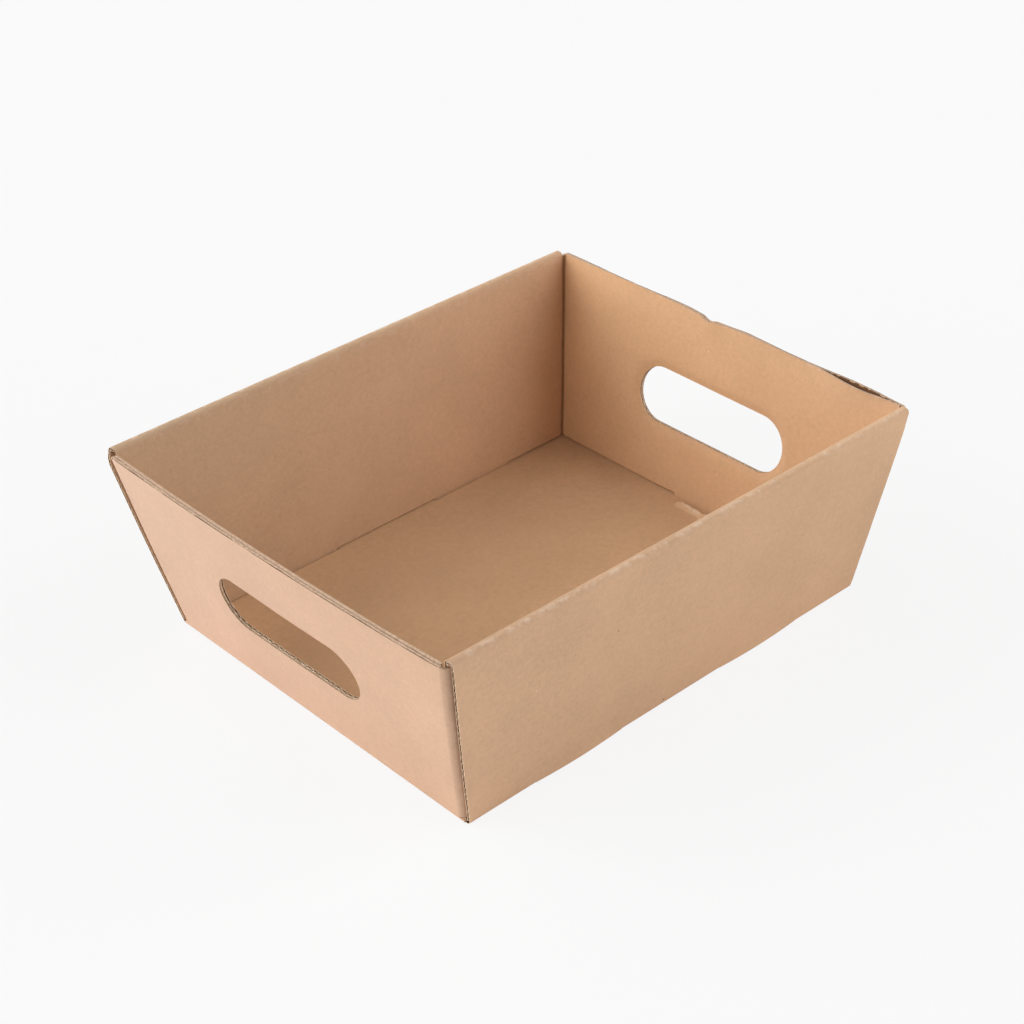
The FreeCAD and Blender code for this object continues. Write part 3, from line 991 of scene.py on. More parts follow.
    def ring(self, layer: Layer) -> tuple[np.ndarray, np.ndarray, list[np.ndarray]]:
        """Flat coordinates of a layer around its slot.

        Each column goes straight from a point of the slot's outline to a point of the border. The
        slot's round ends are shared out so that their 45 degree points go to the corners.

        Args:
            layer: The layer.

        Returns:
            y and rise by row and column, and the four borders.
        """
        borders = self.borders(layer)
        straight = self.slot_length - self.slot_height
        round_end = math.pi * self.slot_radius
        whole = 2.0 * straight + 2.0 * round_end
        marks = np.array([round_end / 4.0, 3.0 * round_end / 4.0 + straight])
        marks = np.concatenate([marks, marks + whole / 2.0, [round_end / 4.0 + whole]]) / whole
        shares, outline = [], []
        for index, border in enumerate(borders):
            run = run_along(border)
            part = marks[index] + (marks[index + 1] - marks[index]) * run / run[-1]
            shares.append(part if index == 3 else part[:-1])
            outline.append(border if index == 3 else border[:-1])
        slot_y, slot_rise, _, _ = self.slot_at(np.concatenate(shares))
        rim = np.concatenate(outline)
        mix = np.array([0.0, 0.015, 0.04, 0.08, 0.14, 0.22, 0.32,
                        0.43, 0.55, 0.67, 0.78, 0.88, 0.95, 1.0])[:, None]
        y = slot_y * (1.0 - mix) + rim[:, 0] * mix
        return y, slot_rise * (1.0 - mix) + rim[:, 1] * mix, borders

    def add_layer(self, shell: Shell, layer: Layer) -> list[np.ndarray]:
        """Adds one layer with its open slot edge and open top edge, and returns its borders."""
        place = self.place(layer)
        y, rise, borders = self.ring(layer)
        bare_and_shaded = self.bare_and_shaded if layer is Layer.OUTER else 0.0
        down = self.form.end_top - rise
        # Where the liner is ripped off in the gape, the patch is painted dark as the shade between
        # the layers.
        torn_and_shaded = bare_and_shaded * plateau(y, -77.0 * MM, 19.0 * MM, 5.0 * MM)
        torn_and_shaded = torn_and_shaded * smooth((6.0 * MM - down) / (1.5 * MM))
        shell.faces(place, y, rise, flute=y, crease=self.wear(rise), torn_and_shaded=torn_and_shaded)
        board = self.form.board
        around = np.concatenate([y[0], y[0][:1]]), np.concatenate([rise[0], rise[0][:1]])
        away = np.stack([around[0] - self.slot_middle(around[0]), around[1] - self.slot_rise])
        away = away / self.slot_radius
        shell.raw_edge(place, around[0], around[1], away[0], away[1], loop=True)
        steps = int(self.slot_line()[2][-1] / board.pitch * 14.0)
        share = np.linspace(0.0, 1.0, steps + 1)
        py, ps, dy, ds = self.slot_at(share)
        crush = 0.88 + 0.2 * ripple(py, ps, 41 + layer.value, 0.02)
        arch = 0.85 if layer is Layer.INNER else -0.7
        shell.ribbon(place, py, ps, dy, ds, self.across(layer),
                     crush, arch, self.frayed, loop=True)
        top = borders[0]
        shell.pressed_edge(place, top[:, 0], top[:, 1], 1.0, self.split(top[:, 0], layer))
        return borders

    def split(self, y: np.ndarray, layer: Layer) -> np.ndarray:
        """Width of the open score along the top fold: uneven, and nothing at the nicks."""
        width = self.splits[layer] * np.clip(0.75 + 0.45 * ripple(y, y, 61, 0.05), 0.15, 1.3)
        for nick in self.nicks:
            width = width * (1.0 - plateau(y, nick.centre, nick.width / 2.0, 0.4 * MM))
        return width

    def across(self, layer: Layer) -> Place:
        """Place across the flutes, which run up the slope, shifted on the inner layer."""
        shift = 0.37 * self.form.board.pitch * layer.value
        return lambda y, rise: y + shift

    def wear(self, rise: np.ndarray) -> np.ndarray:
        """Wear close below the top fold."""
        return 0.5 * smooth(1.0 - (self.form.end_top - rise) / (1.5 * MM))

    def add_fold(self, shell: Shell, border: np.ndarray) -> None:
        """Adds the base fold of the outer layer, up to the border where the flat wall begins."""
        form, half = self.form, self.form.board.half
        knee = (form.end_x(half, half), half)
        corners = [(knee[0] - 2.0 * MM, half), knee, form.on_end(half, self.fold_rise)]
        profile = bent_profile(corners, [self.base_radius], half, 2.0 * MM, 7)
        _, z = profile.at(profile.run, np.asarray(half))
        wide = form.wall_y(self.foot_side, z)
        wide[-1] = abs(border[0, 0])
        share = border[:, 0] / abs(border[0, 0])
        runs = np.repeat(profile.run[:, None], len(share), 1)
        y = wide[:, None] * share

        def place(run: np.ndarray, across: np.ndarray, depth: np.ndarray) -> np.ndarray:
            x, height = profile.at(run, depth)
            x, across, height = np.broadcast_arrays(x, across, height)
            return form.settle(np.stack([self.end.value * x, across, height], -1))

        shell.faces(place, runs, y, flute=y)
        shell.plain_edge(place, runs[0], y[0])
        shell.plain_edge(place, runs[:, 0], y[:, 0])
        shell.plain_edge(place, runs[:, -1], y[:, -1])

    def add_flap(self, shell: Shell, border: np.ndarray, side: Wall) -> None:
        """Adds the rounded corner fold and the flap that is trapped in the long wall.

        Its section, square to the corner's line, runs on from the flat wall, turns by the angle
        between the two walls and goes on into the long wall. Every point is a point of the border
        plus the section's two coordinates along the wall and into the tray.

        Args:
            shell: Where it is added.
            border: The outer layer's side border, as (y, rise).
            side: The long wall that holds the flap.
        """
        form, board = self.form, self.form.board
        end_normal = np.array([math.cos(form.end_tilt), 0.0, -math.sin(form.end_tilt)])
        wall_normal = np.array([0.0, math.cos(form.side_tilt), -math.sin(form.side_tilt)])
        rising = np.cross(end_normal, wall_normal)
        rising = rising / np.linalg.norm(rising) * math.copysign(1.0, rising[2])
        along = np.cross(rising, end_normal)
        along = along * math.copysign(1.0, along[1])
        inward = np.cross(rising, wall_normal)
        inward = inward * -math.copysign(1.0, inward[0])
        depth_step = self.outer_side - board.step - board.half - self.flap_gap
        lean = wall_normal @ end_normal
        knee = (depth_step + board.half * lean) / (wall_normal @ along)
        flat = np.array([inward @ along, inward @ -end_normal])
        start = np.array([0.0, board.half])
        corner = np.array([knee, board.half])
        flat = flat / np.linalg.norm(flat)
        outwards = np.array([wall_normal @ along, -lean])
        eased = corner + flat * 14.0 * MM + outwards * self.flap_gap
        corners = [start, corner, eased, eased + flat * 36.0 * MM]
        profile = bent_profile(corners, [1.5 * MM, 3.0 * MM], board.half, 3.0 * MM, 9)
        drop = smooth(profile.run / (4.0 * MM)) * 1.1 * MM
        runs = np.repeat(profile.run[:, None], len(border), 1)
        rise = np.repeat(border[:, 1][None], len(profile.run), 0)
        top = border[:, 1].max()
        low = border[:, 1].min()
        rise = rise - drop[:, None] * (rise - low) / (top - low)

        def place(run: np.ndarray, up: np.ndarray, depth: np.ndarray) -> np.ndarray:
            a, b = profile.at(run, depth)
            x, z = form.on_end(np.asarray(0.0), up)
            y = self.side_y(up, Layer.OUTER)
            origin = np.stack(np.broadcast_arrays(x, y, z), -1)
            offset = a[..., None] * along - b[..., None] * end_normal
            level = smooth(run / (2.0 * MM))[..., None]
            offset = offset - level * rising * offset[..., 2:] / rising[2]
            spot = (origin + offset) * np.array([self.end.value, side.value, 1.0])
            return form.settle(spot)

        shell.faces(place, runs, rise, flute=-runs, crease=0.25 * hump(runs, 3.0 * MM, 2.5 * MM))
        shell.plain_edge(place, runs[:, 0], rise[:, 0])
        shell.plain_edge(place, runs[:, -1], rise[:, -1])
        shell.plain_edge(place, runs[-1], rise[-1])

    def build(self, finishes: list[bpy.types.Material]) -> bpy.types.Object:
        """Makes the end wall with its corner flaps."""
        shell = Shell(self.form.board)
        borders = self.add_layer(shell, Layer.OUTER)
        self.add_fold(shell, borders[2])
        self.add_flap(shell, borders[1], Wall.BACK)
        self.add_flap(shell, borders[3] * np.array([-1.0, 1.0]), Wall.FRONT)
        borders = self.add_layer(shell, Layer.INNER)
        place = self.place(Layer.INNER)
        for border in borders[1:]:
            shell.plain_edge(place, border[:, 0], border[:, 1])
        return shell.build(f"{self.end.name.lower()}_end", finishes)


@dataclass
class Base:
    """The flat base, with its slots for the lock tabs."""

    form: TrayForm
    wall: LongWall
    slot_depth: float = 5.0 * MM
    lip_x: float = 105.2 * MM
    lip_y: float = -5.0 * MM
    lip_height: float = 2.1 * MM
    trench_x: float = 108.4 * MM
    trench_depth: float = 1.1 * MM
    edge: float = 0.12 * MM

    def beside_slot(self, y: np.ndarray) -> np.ndarray:
        """1 along the lip and the trench of an end slot, 0 beyond them."""
        return plateau(y, self.lip_y, 9.0 * MM, 3.0 * MM)

    def on_lip(self, x: np.ndarray) -> np.ndarray:
        """Section of the lip, from 0 to 1."""
        return hump(np.abs(x), self.lip_x, 2.8 * MM)

    def reach_y(self, x: np.ndarray) -> np.ndarray:
        """Half width at a place along X: the fold's start, or further in at a slot."""
        slot = np.zeros_like(x)
        for tab in self.wall.tabs:
            slot = slot + tab.open(x, self.edge)
        inner = self.form.wall_y(self.slot_depth, 0.0)
        return self.wall.joint_y + slot * (inner - self.wall.joint_y)

    def place(self, x: np.ndarray, y: np.ndarray, depth: np.ndarray) -> np.ndarray:
        """Point of the base: flat below; above, a raised lip and a trench at each end slot."""
        x, y, depth = np.broadcast_arrays(x, y, depth)
        slot = self.beside_slot(y)
        lip = self.lip_height * self.on_lip(x)
        trench = self.trench_depth * plateau(np.abs(x), self.trench_x, 0.9 * MM, 0.3 * MM)
        z = depth * (1.0 + slot * (lip - trench) / self.form.board.thickness)
        return self.form.settle(np.stack([x, y, z], -1))

    def build(self, finishes: list[bpy.types.Material]) -> bpy.types.Object:
        """Makes the base: a grid whose border lines run into the slots."""
        shell = Shell(self.form.board)
        full_x = self.form.end_x(self.form.board.half, self.form.board.half) - 2.0 * MM
        full_y = self.wall.joint_y
        marks_x = []
        for tab in self.wall.tabs:
            for sign in (-1.0, 1.0):
                marks_x.append(tab.centre + sign * (tab.length / 2.0 + tab.play))
        for sign in (-1.0, 1.0):
            marks_x.extend(sign * np.linspace(self.lip_x - 2.4 * MM, full_x - 0.6 * MM, 10))
        x = spread(-full_x, full_x, 4.0 * MM, marks_x, self.edge)
        y = spread(-full_y, full_y, 2.0 * MM, [], self.edge)
        grid_x, grid_y = np.meshgrid(x, y)
        near_y = smooth((np.abs(grid_y) / full_y - 0.93) / 0.07)
        u = grid_x
        v = grid_y - np.sign(grid_y) * near_y * (full_y - self.reach_y(grid_x))
        # The raised lip beside each end slot gets the pale scuff colour as a painted highlight of
        # its lit top.
        worn = self.beside_slot(v) * self.on_lip(u)
        shell.faces(self.place, u, v, flute=v, crease=1.6 * worn)
        for row in (0, -1):
            shell.plain_edge(self.place, u[row], v[row])
            shell.plain_edge(self.place, u[:, row], v[:, row])
        return shell.build("base", finishes)


def input_socket(group: bpy.types.NodeTree, name: str, kind: str, value) -> None:
    """Adds a named input with its plain value to a node group."""
    socket = group.interface.new_socket(name=name, in_out="INPUT", socket_type=kind)
    socket.default_value = value


def output_socket(group: bpy.types.NodeTree, name: str, kind: str) -> None:
    """Adds a named output to a node group."""
    group.interface.new_socket(name=name, in_out="OUTPUT", socket_type=kind)


@dataclass
class Wiring:
    """Adds nodes to a tree and joins them.

    Attributes:
        tree: The node tree.
    """

    tree: bpy.types.NodeTree

    def node(self, kind: str, settings: dict | None = None, **inputs) -> bpy.types.Node:
        """Adds a node, sets its settings, and sets or links its inputs by name."""
        made = self.tree.nodes.new(kind)
        for name, value in (settings or {}).items():
            setattr(made, name, value)
        for name, value in inputs.items():
            self.feed(made, name.replace("_", " "), value)
        return made

    def feed(self, node: bpy.types.Node, name, value) -> None:
        """Sets one input of a node, or links an output to it."""
        socket = node.inputs[name]
        if isinstance(value, bpy.types.NodeSocket):
            self.tree.links.new(value, socket)
        else:
            socket.default_value = value

    def maths(self, operation: str, *values, clamp: bool = False) -> bpy.types.NodeSocket:
        """Adds a maths node for the values and gives its result."""
        made = self.tree.nodes.new("ShaderNodeMath")
        made.operation, made.use_clamp = operation, clamp
        for index, value in enumerate(values):
            self.feed(made, index, value)
        return made.outputs[0]

    def mapped(self, value, low: float, high: float,
               to_low: float, to_high: float) -> bpy.types.NodeSocket:
        """Maps a value's range onto another, held at both ends."""
        made = self.node("ShaderNodeMapRange", {"clamp": True}, Value=value)
        limits = {"From Min": low, "From Max": high, "To Min": to_low, "To Max": to_high}
        for name, number in limits.items():
            made.inputs[name].default_value = number
        return made.outputs["Result"]

    def noise(self, vector, scale: float, detail: float, roughness: float) -> bpy.types.NodeSocket:
        """Adds soft noise, from 0 to 1 about a middle of one half."""
        made = self.node("ShaderNodeTexNoise", None, Vector=vector, Scale=scale,
                         Detail=detail, Roughness=roughness)
        return made.outputs["Fac"]

    def mixed(self, factor, first, second, blend: str = "MIX") -> bpy.types.NodeSocket:
        """Mixes two colours."""
        made = self.node("ShaderNodeMix", {"data_type": "RGBA", "blend_type": blend})
        self.feed(made, 0, factor)
        self.feed(made, 6, first)
        self.feed(made, 7, second)
        return made.outputs[2]


def paper_group() -> bpy.types.NodeTree:
    """Node group of kraft paper: clouds, mottling, fibres, dark specks and pale flecks.

    Returns:
        Group that turns a place and a tone into a colour, a height and a roughness.
    """
    group = bpy.data.node_groups.new("kraft_paper", "ShaderNodeTree")
    input_socket(group, "Place", "NodeSocketVector", (0.0, 0.0, 0.0))
    input_socket(group, "Tone", "NodeSocketColor", (0.6, 0.42, 0.28, 1.0))
    input_socket(group, "Clouds", "NodeSocketFloat", 1.0)
    for name, kind in (("Color", "Color"), ("Height", "Float"), ("Roughness", "Float")):
        output_socket(group, name, f"NodeSocket{kind}")
    wiring = Wiring(group)
    given = group.nodes.new("NodeGroupInput")
    place = given.outputs["Place"]
    clouds = wiring.noise(place, 26.0, 3.0, 0.55)
    mottle = wiring.noise(place, 420.0, 4.0, 0.6)
    stretched = wiring.node("ShaderNodeMapping", None, Vector=place, Scale=(1.0, 1.0, 0.22))
    fibres = wiring.noise(stretched.outputs[0], 1900.0, 3.0, 0.6)
    crossed = wiring.node("ShaderNodeMapping", None, Vector=place, Scale=(0.25, 0.25, 1.0))
    threads = wiring.noise(crossed.outputs[0], 1500.0, 2.0, 0.6)
    cloud_part = wiring.mapped(clouds, 0.3, 0.7, -0.045, 0.045)
    cloud_part = wiring.maths("MULTIPLY", cloud_part, given.outputs["Clouds"])
    mottle_part = wiring.mapped(mottle, 0.3, 0.7, -0.035, 0.035)
    fibre_part = wiring.mapped(fibres, 0.3, 0.7, -0.045, 0.045)
    thread_part = wiring.mapped(threads, 0.3, 0.7, -0.035, 0.035)
    total = wiring.maths("ADD", cloud_part, mottle_part)
    total = wiring.maths("ADD", total, fibre_part)
    total = wiring.maths("ADD", total, thread_part)
    level = wiring.maths("ADD", total, 1.0)
    shade = wiring.node("ShaderNodeVectorMath", {"operation": "SCALE"})
    wiring.feed(shade, 0, given.outputs["Tone"])
    wiring.feed(shade, "Scale", level)
    warm = wiring.noise(place, 60.0, 2.0, 0.5)
    warmth = wiring.mapped(warm, 0.35, 0.65, 0.0, 0.05)
    colour = wiring.mixed(warmth, shade.outputs[0], (0.62, 0.36, 0.26, 1.0))
    for scale, share, size, tint, amount in (
        (150.0, 0.06, 0.09, (0.10, 0.06, 0.04, 1.0), 0.75),
        (210.0, 0.10, 0.07, (0.28, 0.17, 0.10, 1.0), 0.5),
        (170.0, 0.05, 0.10, (0.85, 0.72, 0.56, 1.0), 0.5),
    ):
        cells = wiring.node("ShaderNodeTexVoronoi", None, Vector=place, Scale=scale)
        rare = wiring.node("ShaderNodeSeparateColor", None, Color=cells.outputs["Color"])
        chosen = wiring.maths("LESS_THAN", rare.outputs[0], share)
        width = wiring.maths("MULTIPLY", rare.outputs[1], size)
        near = wiring.maths("SUBTRACT", width, cells.outputs["Distance"])
        spot = wiring.maths("MULTIPLY", wiring.mapped(near, 0.0, 0.02, 0.0, amount), chosen)
        colour = wiring.mixed(spot, colour, tint)
    height = wiring.maths("MULTIPLY", fibres, 0.6)
    height = wiring.maths("ADD", height, wiring.maths("MULTIPLY", threads, 0.4))
    height = wiring.maths("ADD", height, wiring.maths("MULTIPLY", mottle, 0.5))
    given_out = group.nodes.new("NodeGroupOutput")
    wiring.feed(given_out, "Color", colour)
    wiring.feed(given_out, "Height", height)
    wiring.feed(given_out, "Roughness", wiring.mapped(mottle, 0.3, 0.7, 0.82, 0.94))
    return group


@dataclass(frozen=True)
class LinerFinish:
    """Outer paper of the board.

    Attributes:
        name: Name of the material.
        low: Base colour at the end of the axis with the low numbers; it holds painted light and
            shade.
        high: Base colour at its other end, which also holds painted light and shade.
        axis: Axis along which the colour changes, X or Y; the change is painted light and shade.
        scuff: How strongly creases are scuffed pale, and the base's lip given its painted
            highlight.
        clouds: Strength of the broad shading.
    """

    name: str
    low: tuple[float, float, float]
    high: tuple[float, float, float]
    axis: str
    scuff: float = 0.5
    clouds: float = 1.0

    def make(self, paper: bpy.types.NodeTree) -> bpy.types.Material:
        """Makes the material: kraft paper, faint flute lines, pale scuff marks along creases, and
        painted light.

        The paper's colour changes along the piece as painted light and shade. On the base's lip
        the pale scuff colour is a painted highlight, and where the liner is ripped off the patch
        is painted dark as shade.
        """
        material = bpy.data.materials.new(self.name)
        material.use_nodes = True
        wiring = Wiring(material.node_tree)
        shader = material.node_tree.nodes["Principled BSDF"]
        shader.inputs["Specular IOR Level"].default_value = 0.3
        place = wiring.node("ShaderNodeTexCoord").outputs["Object"]
        # The mix from low to high along the axis is painted light and shade across the piece.
        spot = wiring.node("ShaderNodeSeparateXYZ", None, Vector=place).outputs[self.axis]
        share = wiring.mapped(spot, -0.1, 0.1, 0.0, 1.0)
        tone = wiring.mixed(share, (*self.low, 1.0), (*self.high, 1.0))
        base = wiring.node("ShaderNodeGroup", {"node_tree": paper}, Place=place, Tone=tone)
        base.inputs["Clouds"].default_value = self.clouds
        flute = wiring.node("ShaderNodeAttribute", {"attribute_name": "flute"}).outputs["Fac"]
        crease = wiring.node("ShaderNodeAttribute", {"attribute_name": "crease"}).outputs["Fac"]
        wave = wiring.maths("COSINE", wiring.maths("MULTIPLY", flute, 2.0 * math.pi / (3.6 * MM)))
        worn = wiring.noise(place, 240.0, 4.0, 0.75)
        # Pale scuff marks along the creases; on the base's lip the same pale colour is a painted
        # highlight.
        scuffs_and_highlight = wiring.maths("MULTIPLY", wiring.mapped(worn, 0.47, 0.6, 0.0, 1.0), crease)
        scuffs_and_highlight = wiring.maths("MULTIPLY", scuffs_and_highlight, self.scuff, clamp=True)
        colour = wiring.mixed(scuffs_and_highlight, base.outputs["Color"], (0.80, 0.64, 0.49, 1.0))
        # Wear below zero marks the ripped liner: the patch is painted dark brown, as the shade in
        # the gape over the bared flutes.
        torn_and_shaded = wiring.maths("ADD", crease, wiring.maths("MULTIPLY", worn, 0.5))
        torn_and_shaded = wiring.mapped(torn_and_shaded, -0.2, -0.5, 0.0, 1.0)
        colour = wiring.mixed(torn_and_shaded, colour, (0.16, 0.075, 0.035, 1.0))
        wiring.feed(shader, "Base Color", colour)
        wiring.feed(shader, "Roughness", base.outputs["Roughness"])
        height = wiring.maths("MULTIPLY", base.outputs["Height"], 0.05 * MM)
        height = wiring.maths("ADD", height, wiring.maths("MULTIPLY", wave, 0.006 * MM))
        bump = wiring.node("ShaderNodeBump", None, Height=height, Strength=1.0, Distance=1.0)
        wiring.feed(shader, "Normal", bump.outputs["Normal"])
        return material


@dataclass(frozen=True)
class FibreFinish:
    """Torn or cut paper inside the board: the cut ends of the liners, or the wavy medium.

    Attributes:
        name: Name of the material.
        tone: Base colour.
        dark: Colour of its darker streaks.
    """

    name: str
    tone: tuple[float, float, float]
    dark: tuple[float, float, float]

    def make(self, paper: bpy.types.NodeTree) -> bpy.types.Material:
        """Makes the material: kraft paper mixed with darker streaks."""
        material = bpy.data.materials.new(self.name)
        material.use_nodes = True
        wiring = Wiring(material.node_tree)
        shader = material.node_tree.nodes["Principled BSDF"]
        shader.inputs["Specular IOR Level"].default_value = 0.2
        place = wiring.node("ShaderNodeTexCoord").outputs["Object"]
        base = wiring.node("ShaderNodeGroup", {"node_tree": paper}, Place=place)
        base.inputs["Tone"].default_value = (*self.tone, 1.0)
        streaks = wiring.mapped(wiring.noise(place, 900.0, 3.0, 0.7), 0.42, 0.62, 0.0, 1.0)
        colour = wiring.mixed(streaks, base.outputs["Color"], (*self.dark, 1.0))
        wiring.feed(shader, "Base Color", colour)
        wiring.feed(shader, "Roughness", base.outputs["Roughness"])
        height = wiring.maths("MULTIPLY", base.outputs["Height"], 0.08 * MM)
        bump = wiring.node("ShaderNodeBump", None, Height=height, Strength=1.0, Distance=1.0)
        wiring.feed(shader, "Normal", bump.outputs["Normal"])
        return material


@dataclass(frozen=True)
class Softbox:
    """A wide soft lamp.

    Attributes:
        name: Name of the lamp.
        azimuth: Direction that it shines from, about Z from +X, in degrees.
        elevation: Its height over the floor, in degrees.
        strength: Its strength.
        width: Angle that it fills, in degrees.
    """

    name: str
    azimuth: float
    elevation: float
    strength: float
    width: float = 60.0


@dataclass(frozen=True)
class Studio:
    """Plain pale floor, soft light and the camera.

    Attributes:
        floor_tone: Colour of the floor.
        floor_glow: Share of the white that the camera sees in place of the floor's own shading.
        floor_white: Level of that white.
        sky: Strength of the even light.
        boxes: The soft lamps.
        eye: Place of the camera.
        yaw: Direction of view about Z, from +X, in degrees.
        pitch: How far the view looks down, in degrees.
        roll: Turn of the camera about its line of view, in degrees.
        focal_pixels: Focal length as a number of pixels of the frame.
        frame_pixels: Width of the frame in pixels.
    """

    floor_tone: float = 0.93
    floor_glow: float = 0.9
    floor_white: float = 0.955
    sky: float = 0.17
    boxes: tuple[Softbox, ...] = (
        Softbox("left_rear_box", 108.0, 27.0, 1.2),
        Softbox("left_box", 138.0, 25.0, 1.8),
        Softbox("left_front_box", 168.0, 25.0, 0.9),
        Softbox("right_box", 316.0, 27.0, 2.1),
    )
    eye: tuple[float, float, float] = (-514.5 * MM, -578.5 * MM, 549.8 * MM)
    yaw: float = 48.486
    pitch: float = 32.955
    roll: float = -1.911
    focal_pixels: float = 2179.4
    frame_pixels: float = 1024.0

    def make_floor(self) -> None:
        """Makes the floor, which keeps the tray's soft shadow."""
        side = 4.0
        mesh = bpy.data.meshes.new("floor")
        corners = [(-side, -side, 0.0), (side, -side, 0.0), (side, side, 0.0), (-side, side, 0.0)]
        mesh.from_pydata(corners, [], [(0, 1, 2, 3)])
        floor = bpy.data.objects.new("floor", mesh)
        bpy.context.scene.collection.objects.link(floor)
        material = bpy.data.materials.new("floor_paper")
        material.use_nodes = True
        shader = material.node_tree.nodes["Principled BSDF"]
        shader.inputs["Base Color"].default_value = (self.floor_tone,) * 3 + (1.0,)
        shader.inputs["Roughness"].default_value = 1.0
        shader.inputs["Specular IOR Level"].default_value = 0.0
        wiring = Wiring(material.node_tree)
        seen = wiring.node("ShaderNodeLightPath").outputs["Is Camera Ray"]
        glow = wiring.node("ShaderNodeEmission", None,
                           Color=(1.0, 1.0, 1.0, 1.0), Strength=self.floor_white)
        mix = wiring.node("ShaderNodeMixShader")
        wiring.feed(mix, 0, wiring.maths("MULTIPLY", seen, self.floor_glow))
        wiring.feed(mix, 1, shader.outputs["BSDF"])
        wiring.feed(mix, 2, glow.outputs["Emission"])
        wiring.feed(material.node_tree.nodes["Material Output"], "Surface", mix.outputs["Shader"])
        mesh.materials.append(material)

    def make_light(self) -> None:
        """Makes the even light of the room and the soft lamps."""
        world = bpy.data.worlds.new("room")
        bpy.context.scene.world = world
        world.use_nodes = True
        wiring = Wiring(world.node_tree)
        background = world.node_tree.nodes["Background"]
        background.inputs["Color"].default_value = (1.0, 1.0, 1.0, 1.0)
        seen = wiring.node("ShaderNodeLightPath").outputs["Is Camera Ray"]
        wiring.feed(background, "Strength", wiring.mapped(seen, 0.0, 1.0, self.sky, 0.95))
        for box in self.boxes:
            lamp = bpy.data.lights.new(box.name, "SUN")
            lamp.energy = box.strength
            lamp.angle = math.radians(box.width)
            holder = bpy.data.objects.new(box.name, lamp)
            bpy.context.scene.collection.objects.link(holder)
            turn, rise = math.radians(box.azimuth), math.radians(box.elevation)
            level = math.cos(rise)
            towards = np.array([level * math.cos(turn), level * math.sin(turn), math.sin(rise)])
            holder.matrix_world = self.looking(-towards, (0.0, 0.0, 0.0), 0.0)

    @staticmethod
    def looking(forward: np.ndarray, place: tuple, roll: float):
        """Pose that looks along a direction: right is level, then turned by the roll."""
        right = np.cross(forward, (0.0, 0.0, 1.0))
        right = right / np.linalg.norm(right)
        up = np.cross(right, forward)
        turned = math.cos(roll) * right + math.sin(roll) * up
        upright = math.cos(roll) * up - math.sin(roll) * right
        rows = [[turned[i], upright[i], -forward[i], place[i]] for i in range(3)]
        return Matrix(rows + [[0.0, 0.0, 0.0, 1.0]])

    def make_camera(self) -> None:
        """Makes the camera and sets it as the scene's."""
        lens = bpy.data.cameras.new("camera")
        lens.sensor_width = 36.0
        lens.lens = self.focal_pixels / self.frame_pixels * lens.sensor_width
        lens.clip_start, lens.clip_end = 0.01, 50.0
        camera = bpy.data.objects.new("camera", lens)
        bpy.context.scene.collection.objects.link(camera)
        yaw, pitch = math.radians(self.yaw), math.radians(self.pitch)
        flat = math.cos(pitch)
        forward = np.array([flat * math.cos(yaw), flat * math.sin(yaw), -math.sin(pitch)])
        camera.matrix_world = self.looking(forward, self.eye, math.radians(self.roll))
        bpy.context.scene.camera = camera


def make_near_end(form: TrayForm) -> EndWall:
    """The near end wall, with the nicks of its top fold."""
    nicks = [Nick(68.2 * MM, 6.6 * MM), Nick(42.3 * MM, 1.6 * MM), Nick(10.3 * MM, 10.6 * MM)]
    swells = {Layer.OUTER: [Swell(-80.0 * MM, 26.0 * MM, 0.25 * MM, 25.0 * MM)], Layer.INNER: []}
    dips = {Layer.OUTER: [(-97.0 * MM, 3.0 * MM, 0.3 * MM)],
            Layer.INNER: [(-72.0 * MM, 30.0 * MM, 0.3 * MM)]}
    drop = {Layer.OUTER: 1.3 * MM, Layer.INNER: 1.2 * MM}
    return EndWall(form, End.NEAR, 0.1 * MM, 45.4 * MM, 2.3 * MM, nicks, swells, dips, drop=drop)


def make_far_end(form: TrayForm) -> EndWall:
    """The far end wall: its layers gape at one end of the top fold and are dented midway."""
    nicks = [Nick(73.5 * MM, 5.0 * MM), Nick(47.0 * MM, 3.0 * MM), Nick(6.5 * MM, 9.0 * MM)]
    gape_out = Swell(-79.0 * MM, 26.0 * MM, 0.9 * MM, 30.0 * MM)
    gape_in = Swell(-77.0 * MM, 24.0 * MM, -1.2 * MM, 35.0 * MM)
    dent = Swell(6.0 * MM, 9.0 * MM, -0.5 * MM, 12.0 * MM)
    swells = {Layer.OUTER: [gape_out], Layer.INNER: [gape_in, dent]}
    notch = (9.5 * MM, 4.5 * MM, 1.1 * MM)
    sag = (6.0 * MM, 22.0 * MM, 1.1 * MM)
    hidden = (60.0 * MM, 40.0 * MM, 0.5 * MM)
    dips = {Layer.OUTER: [notch, sag, hidden, (-40.0 * MM, 30.0 * MM, 0.4 * MM)],
            Layer.INNER: [notch, sag, (-77.0 * MM, 24.0 * MM, 0.6 * MM)]}
    lift = (-4.0 * MM, 34.0 * MM, 1.1 * MM)
    # The ripped liner in the gape is painted dark as its shade.
    return EndWall(form, End.FAR, -0.4 * MM, 44.3 * MM, 1.0 * MM, nicks, swells, dips,
                   foot_lift=lift, bare_and_shaded=2.0)


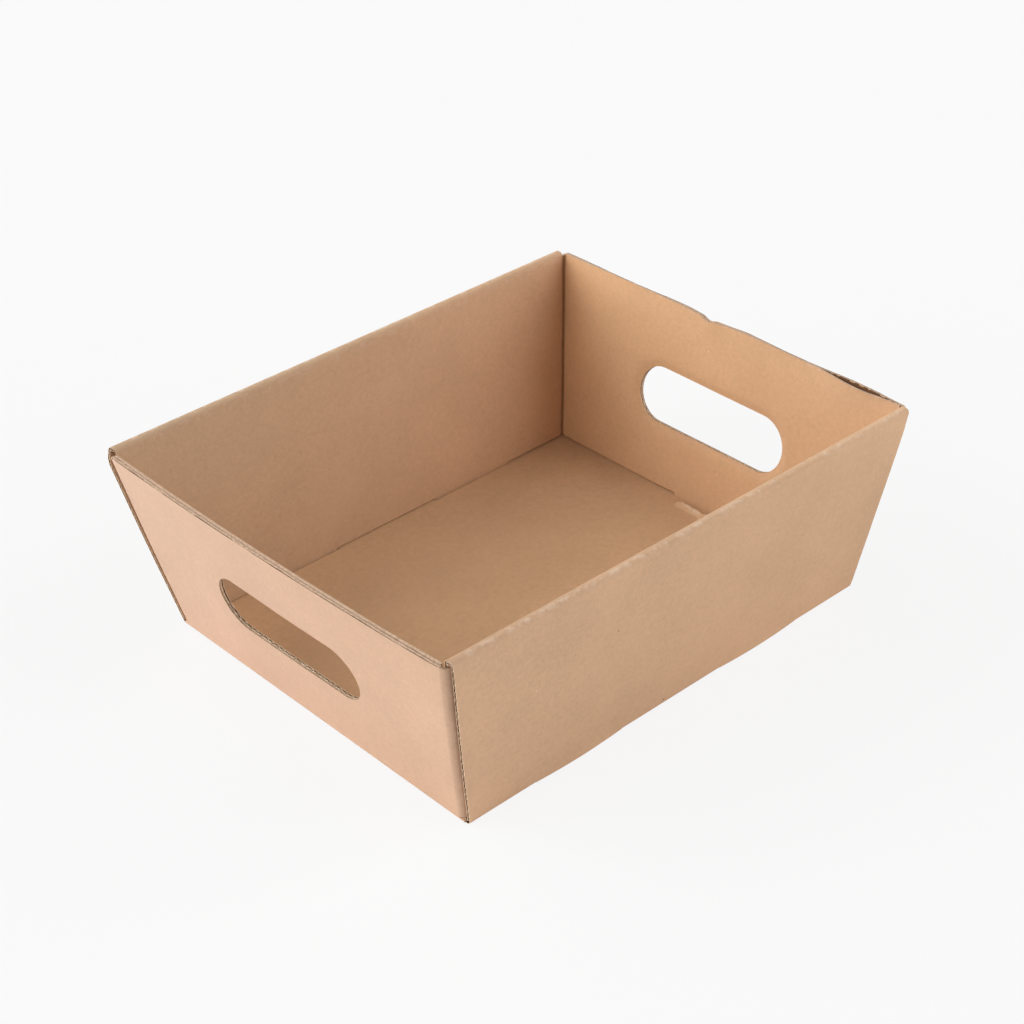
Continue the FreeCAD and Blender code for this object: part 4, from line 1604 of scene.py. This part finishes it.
def make_walls(form: TrayForm) -> list[LongWall]:
    """Both long walls, whose raw side edges were cut and folded a little unevenly."""
    tabs = [LockTab(-53.5 * MM), LockTab(51.0 * MM)]
    plain = RawSide()
    left = RawSide((0.0, 84.0 * MM, 87.0 * MM, 90.0 * MM),
                   (0.6 * MM, 0.1 * MM, 1.6 * MM, 3.0 * MM), 3.0 * MM)
    far = RawSide((0.0, 84.0 * MM, 88.0 * MM), (1.0 * MM, 3.4 * MM, 4.2 * MM), 4.1 * MM)
    front = LongWall(form, Wall.FRONT, tabs, {End.NEAR: plain, End.FAR: plain})
    back = LongWall(form, Wall.BACK, tabs, {End.NEAR: left, End.FAR: far})
    return [front, back]


def main() -> None:
    """Builds the pieces, the studio and the camera."""
    logging.basicConfig(level=logging.INFO, format="%(message)s")
    bpy.context.scene.view_settings.view_transform = "Standard"
    form = TrayForm()
    paper = paper_group()
    fibres = [
        FibreFinish("cut_edge", (0.86, 0.63, 0.44), (0.56, 0.36, 0.22)).make(paper),
        # The medium's near-black brown is painted shade: the real flutes are kraft like the
        # liners, seen dark because they lie deep in the open edges and grooves.
        FibreFinish("flute_medium_painted_shade", (0.15, 0.075, 0.038), (0.09, 0.042, 0.02)).make(paper),
        FibreFinish("pressed_edge", (0.62, 0.44, 0.31), (0.46, 0.31, 0.21)).make(paper),
    ]
    # Each piece's paper tone and its slow change along X or Y were fitted to its regions' lit
    # colours, so they hold painted light and shade on top of the paper's own colour.
    paper_tones_and_painted_light = {
        "front_wall": ((0.589, 0.372, 0.231), (0.668, 0.428, 0.263), "X"),
        "back_wall": ((0.53, 0.355, 0.224), (0.645, 0.408, 0.249), "X"),
        "near_end": ((0.610, 0.396, 0.268), (0.660, 0.447, 0.325), "Y"),
        "far_end": ((0.565, 0.356, 0.207), (0.70, 0.427, 0.232), "Y"),
        "base": ((0.685, 0.437, 0.248), (0.628, 0.392, 0.223), "X"),
    }
    walls = make_walls(form)
    pieces = {"front_wall": walls[0], "back_wall": walls[1], "near_end": make_near_end(form)}
    pieces |= {"far_end": make_far_end(form), "base": Base(form, walls[0])}
    for name, piece in pieces.items():
        piece.build([LinerFinish(f"{name}_liner", *paper_tones_and_painted_light[name]).make(paper), *fibres])
    studio = Studio()
    studio.make_floor()
    studio.make_light()
    studio.make_camera()


if __name__ == "__main__":
    main()
